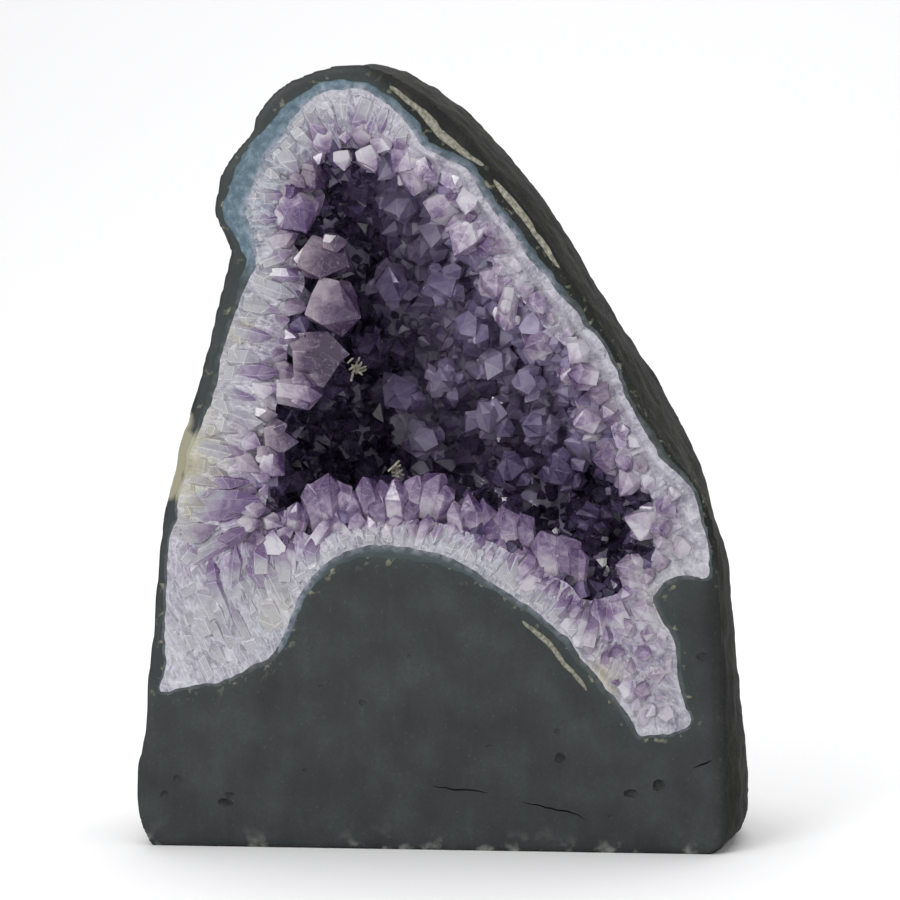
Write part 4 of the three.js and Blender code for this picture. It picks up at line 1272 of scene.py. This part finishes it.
def agateMaterial():
    # Agate, sawn: fine waxy bands that follow the rind, blue-grey where it is thick and slate where thin
    material, tree = newMaterial("agate, sawn")
    inner, outer, blue, thin, bare = [add(tree, "Attribute", attribute_name=key, out="Fac") for key in (
        "inner", "outer", "blue", "thin", "bare")]
    place = add(tree, "TexCoord", out="Object")
    drift = add(tree, "TexNoise", {"Vector": place, "Scale": 1 / (7 * mm), "Detail": 5.0})
    bands = add(tree, "Math", {0: drift, 1: 9.0, 2: inner}, operation="MULTIPLY_ADD")
    bandSpace = add(tree, "CombineXYZ", {0: bands})
    lines = add(tree, "TexNoise", {"Vector": bandSpace, "Scale": 0.5, "Detail": 3.0})
    slate = add(tree, "ValToRGB", {"Fac": lines}, shadeStops((0.35, 0.5, 0.65), agateColours["slate"]))
    clouds = add(tree, "TexNoise", {"Vector": place, "Scale": 1 / (3 * mm), "Detail": 6.0, "Roughness": 0.65})
    mottled = add(tree, "Mix", {0: 0.65, 2: lines, 3: clouds}, data_type="FLOAT")
    azure = add(tree, "ValToRGB", {"Fac": mottled}, shadeStops((0.38, 0.5, 0.62), agateColours["azure"]))
    body = add(tree, "Mix", {0: blue, 6: slate, 7: azure}, data_type="RGBA", out=2)
    dark = add(tree, "MapRange", {"Value": outer, "From Max": 0.6, "To Min": 0.6, "To Max": 0.0})
    dark = add(tree, "Math", {0: dark, 1: thin}, operation="MAXIMUM")
    # the inner edge is milky where the rind turns to quartz
    milk = add(tree, "MapRange", {"Value": inner, "From Min": 0.4, "From Max": 2.6, "To Min": 0.85,
                                  "To Max": 0.0})
    milk = add(tree, "Math", {0: milk, 1: drift}, operation="MULTIPLY")
    sparse = add(tree, "MapRange", {"Value": clouds, "From Min": 0.42, "From Max": 0.6, "To Min": 0.2,
                                    "To Max": 1.5})
    milk = add(tree, "Math", {0: milk, 1: sparse}, operation="MULTIPLY")
    scarce = add(tree, "MapRange", {"Value": thin, "To Min": 1.2, "To Max": 0.35})
    milk = add(tree, "Math", {0: milk, 1: scarce}, operation="MULTIPLY")
    bare = add(tree, "MapRange", {"Value": bare, "From Min": 0.2, "From Max": 0.4})
    for key, mask in {"dark": dark, "milk": milk, "bare": bare}.items():
        body = add(tree, "Mix", {0: mask, 6: body, 7: colour(agateColours[key])}, data_type="RGBA", out=2)
    bump = add(tree, "Bump", {"Height": drift, "Strength": 0.15, "Distance": 0.3 * mm})
    polish = add(tree, "MapRange", {"Value": drift, "To Min": 0.25, "To Max": 0.45})
    shader = add(tree, "BsdfPrincipled", {
        "Base Color": body, "Roughness": polish, "IOR": 1.54, "Normal": bump, "Subsurface Weight": 0.2,
        "Subsurface Radius": (0.8, 0.9, 1.0), "Subsurface Scale": 2.0 * mm})
    add(tree, "OutputMaterial", {"Surface": shader})
    return material


calciteColours = ("#57554a", "#868476", "#a3a192")


def calciteMaterial():
    # Calcite with clay, sawn: cream and sugary, with brown specks
    material, tree = newMaterial("calcite, sawn")
    place = add(tree, "TexCoord", out="Object")
    sugar = add(tree, "TexNoise", {"Vector": place, "Scale": 1 / (1.4 * mm), "Detail": 5.0})
    body = add(tree, "ValToRGB", {"Fac": sugar}, shadeStops((0.3, 0.5, 0.7), calciteColours))
    bump = add(tree, "Bump", {"Height": sugar, "Strength": 0.8, "Distance": 0.4 * mm})
    polish = add(tree, "MapRange", {"Value": sugar, "To Min": 0.5, "To Max": 0.8})
    shader = add(tree, "BsdfPrincipled", {
        "Base Color": body, "Roughness": polish, "IOR": 1.6, "Normal": bump})
    add(tree, "OutputMaterial", {"Surface": shader})
    return material


def wear(piece, *materials):
    piece.data.materials.clear()
    for material in materials:
        piece.data.materials.append(material)


print("materials")
wear(quartz, quartzMaterial)
wear(lining, quartzMaterial, hollowAmethyst)
lining.data.polygons.foreach_set("material_index", [
    int(max(p.vertices) >= liningFront) for p in lining.data.polygons])
wear(bandPiece, mouthAmethyst)
wear(bladePiece, bladeQuartz, bladeEdges)
wear(wallPiece, hollowAmethyst)
rockMaterial, rindMaterial, seamMaterial = basaltMaterial(), agateMaterial(), calciteMaterial()
wear(sprigs, seamMaterial)
wear(rock, rockMaterial)
wear(agate, rindMaterial)
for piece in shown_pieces():
    if piece.name.startswith("calcite"):
        wear(piece, seamMaterial)
    elif piece.name.startswith("rim"):
        wear(piece, mouthAmethyst)
    elif piece.name.startswith("wall"):
        wear(piece, hollowAmethyst)


# ---- stage

stageLook = {
    "floor": "#f6f6f7", "world": 0.5,
    "lights": {"key": ((-0.75, -1.3, 1.1), 0.7, 13.0), "fill": ((1.1, -1.4, 0.6), 1.0, 1.0),
               "top": ((0.0, 0.9, 2.4), 3.0, 55.0)},  # place and size in m, power in W
}
cameraLook = {"azimuth": 5.0, "elevation": 3.0, "distance": 1100.0, "lens": 117.0, "aim": (5.4, 152.0)}


def sweep():
    # a pale floor that curves up behind
    profile = [(-3.0, 0.0), (1.6, 0.0)]
    profile += [(1.6 + 1.2 * math.sin(a), 1.2 - 1.2 * math.cos(a)) for a in np.linspace(0.1, math.pi / 2, 14)]
    profile += [(2.8, 5.0)]
    points = [(x, y, z) for y, z in profile for x in (-5.0, 5.0)]
    faces = [(2 * i, 2 * i + 1, 2 * i + 3, 2 * i + 2) for i in range(len(profile) - 1)]
    mesh = bpy.data.meshes.new("floor")
    mesh.from_pydata(points, [], faces)
    mesh.polygons.foreach_set("use_smooth", [True] * len(mesh.polygons))
    floor = bpy.data.objects.new("floor", mesh)
    bpy.context.scene.collection.objects.link(floor)
    material, tree = newMaterial("matt white paper")
    shader = add(tree, "BsdfPrincipled", {"Base Color": colour(stageLook["floor"]), "Roughness": 0.9,
                                          "Specular IOR Level": 0.1})
    add(tree, "OutputMaterial", {"Surface": shader})
    mesh.materials.append(material)


def softLight(name, place, size, power):
    lamp = bpy.data.lights.new(name, "AREA")
    lamp.energy, lamp.size = power, size
    light = bpy.data.objects.new(name, lamp)
    light.location = place
    light.rotation_euler = (Vector((0, 0, 0.14)) - Vector(place)).to_track_quat("-Z", "Y").to_euler()
    bpy.context.scene.collection.objects.link(light)


print("stage")
sweep()
for name, (place, size, power) in stageLook["lights"].items():
    softLight(name, place, size, power)
world = bpy.data.worlds.new("studio")
world.use_nodes = True
sky = world.node_tree.nodes["Background"]
sky.inputs["Color"].default_value = (1, 1, 1, 1)
sky.inputs["Strength"].default_value = stageLook["world"]
bpy.context.scene.world = world
bpy.context.scene.view_settings.view_transform = "Standard"

azimuth, elevation = math.radians(cameraLook["azimuth"]), math.radians(cameraLook["elevation"])
back = Vector((math.sin(azimuth) * math.cos(elevation), -math.cos(azimuth) * math.cos(elevation),
               math.sin(elevation)))
camera = bpy.data.objects.new("camera", bpy.data.cameras.new("camera"))
camera.data.lens = cameraLook["lens"]
camera.location = Vector((cameraLook["aim"][0] * mm, faceY, cameraLook["aim"][1] * mm)) + back * (
    cameraLook["distance"] * mm)
camera.rotation_mode = "QUATERNION"
camera.rotation_quaternion = (-back).to_track_quat("-Z", "Y")
bpy.context.scene.collection.objects.link(camera)
bpy.context.scene.camera = camera
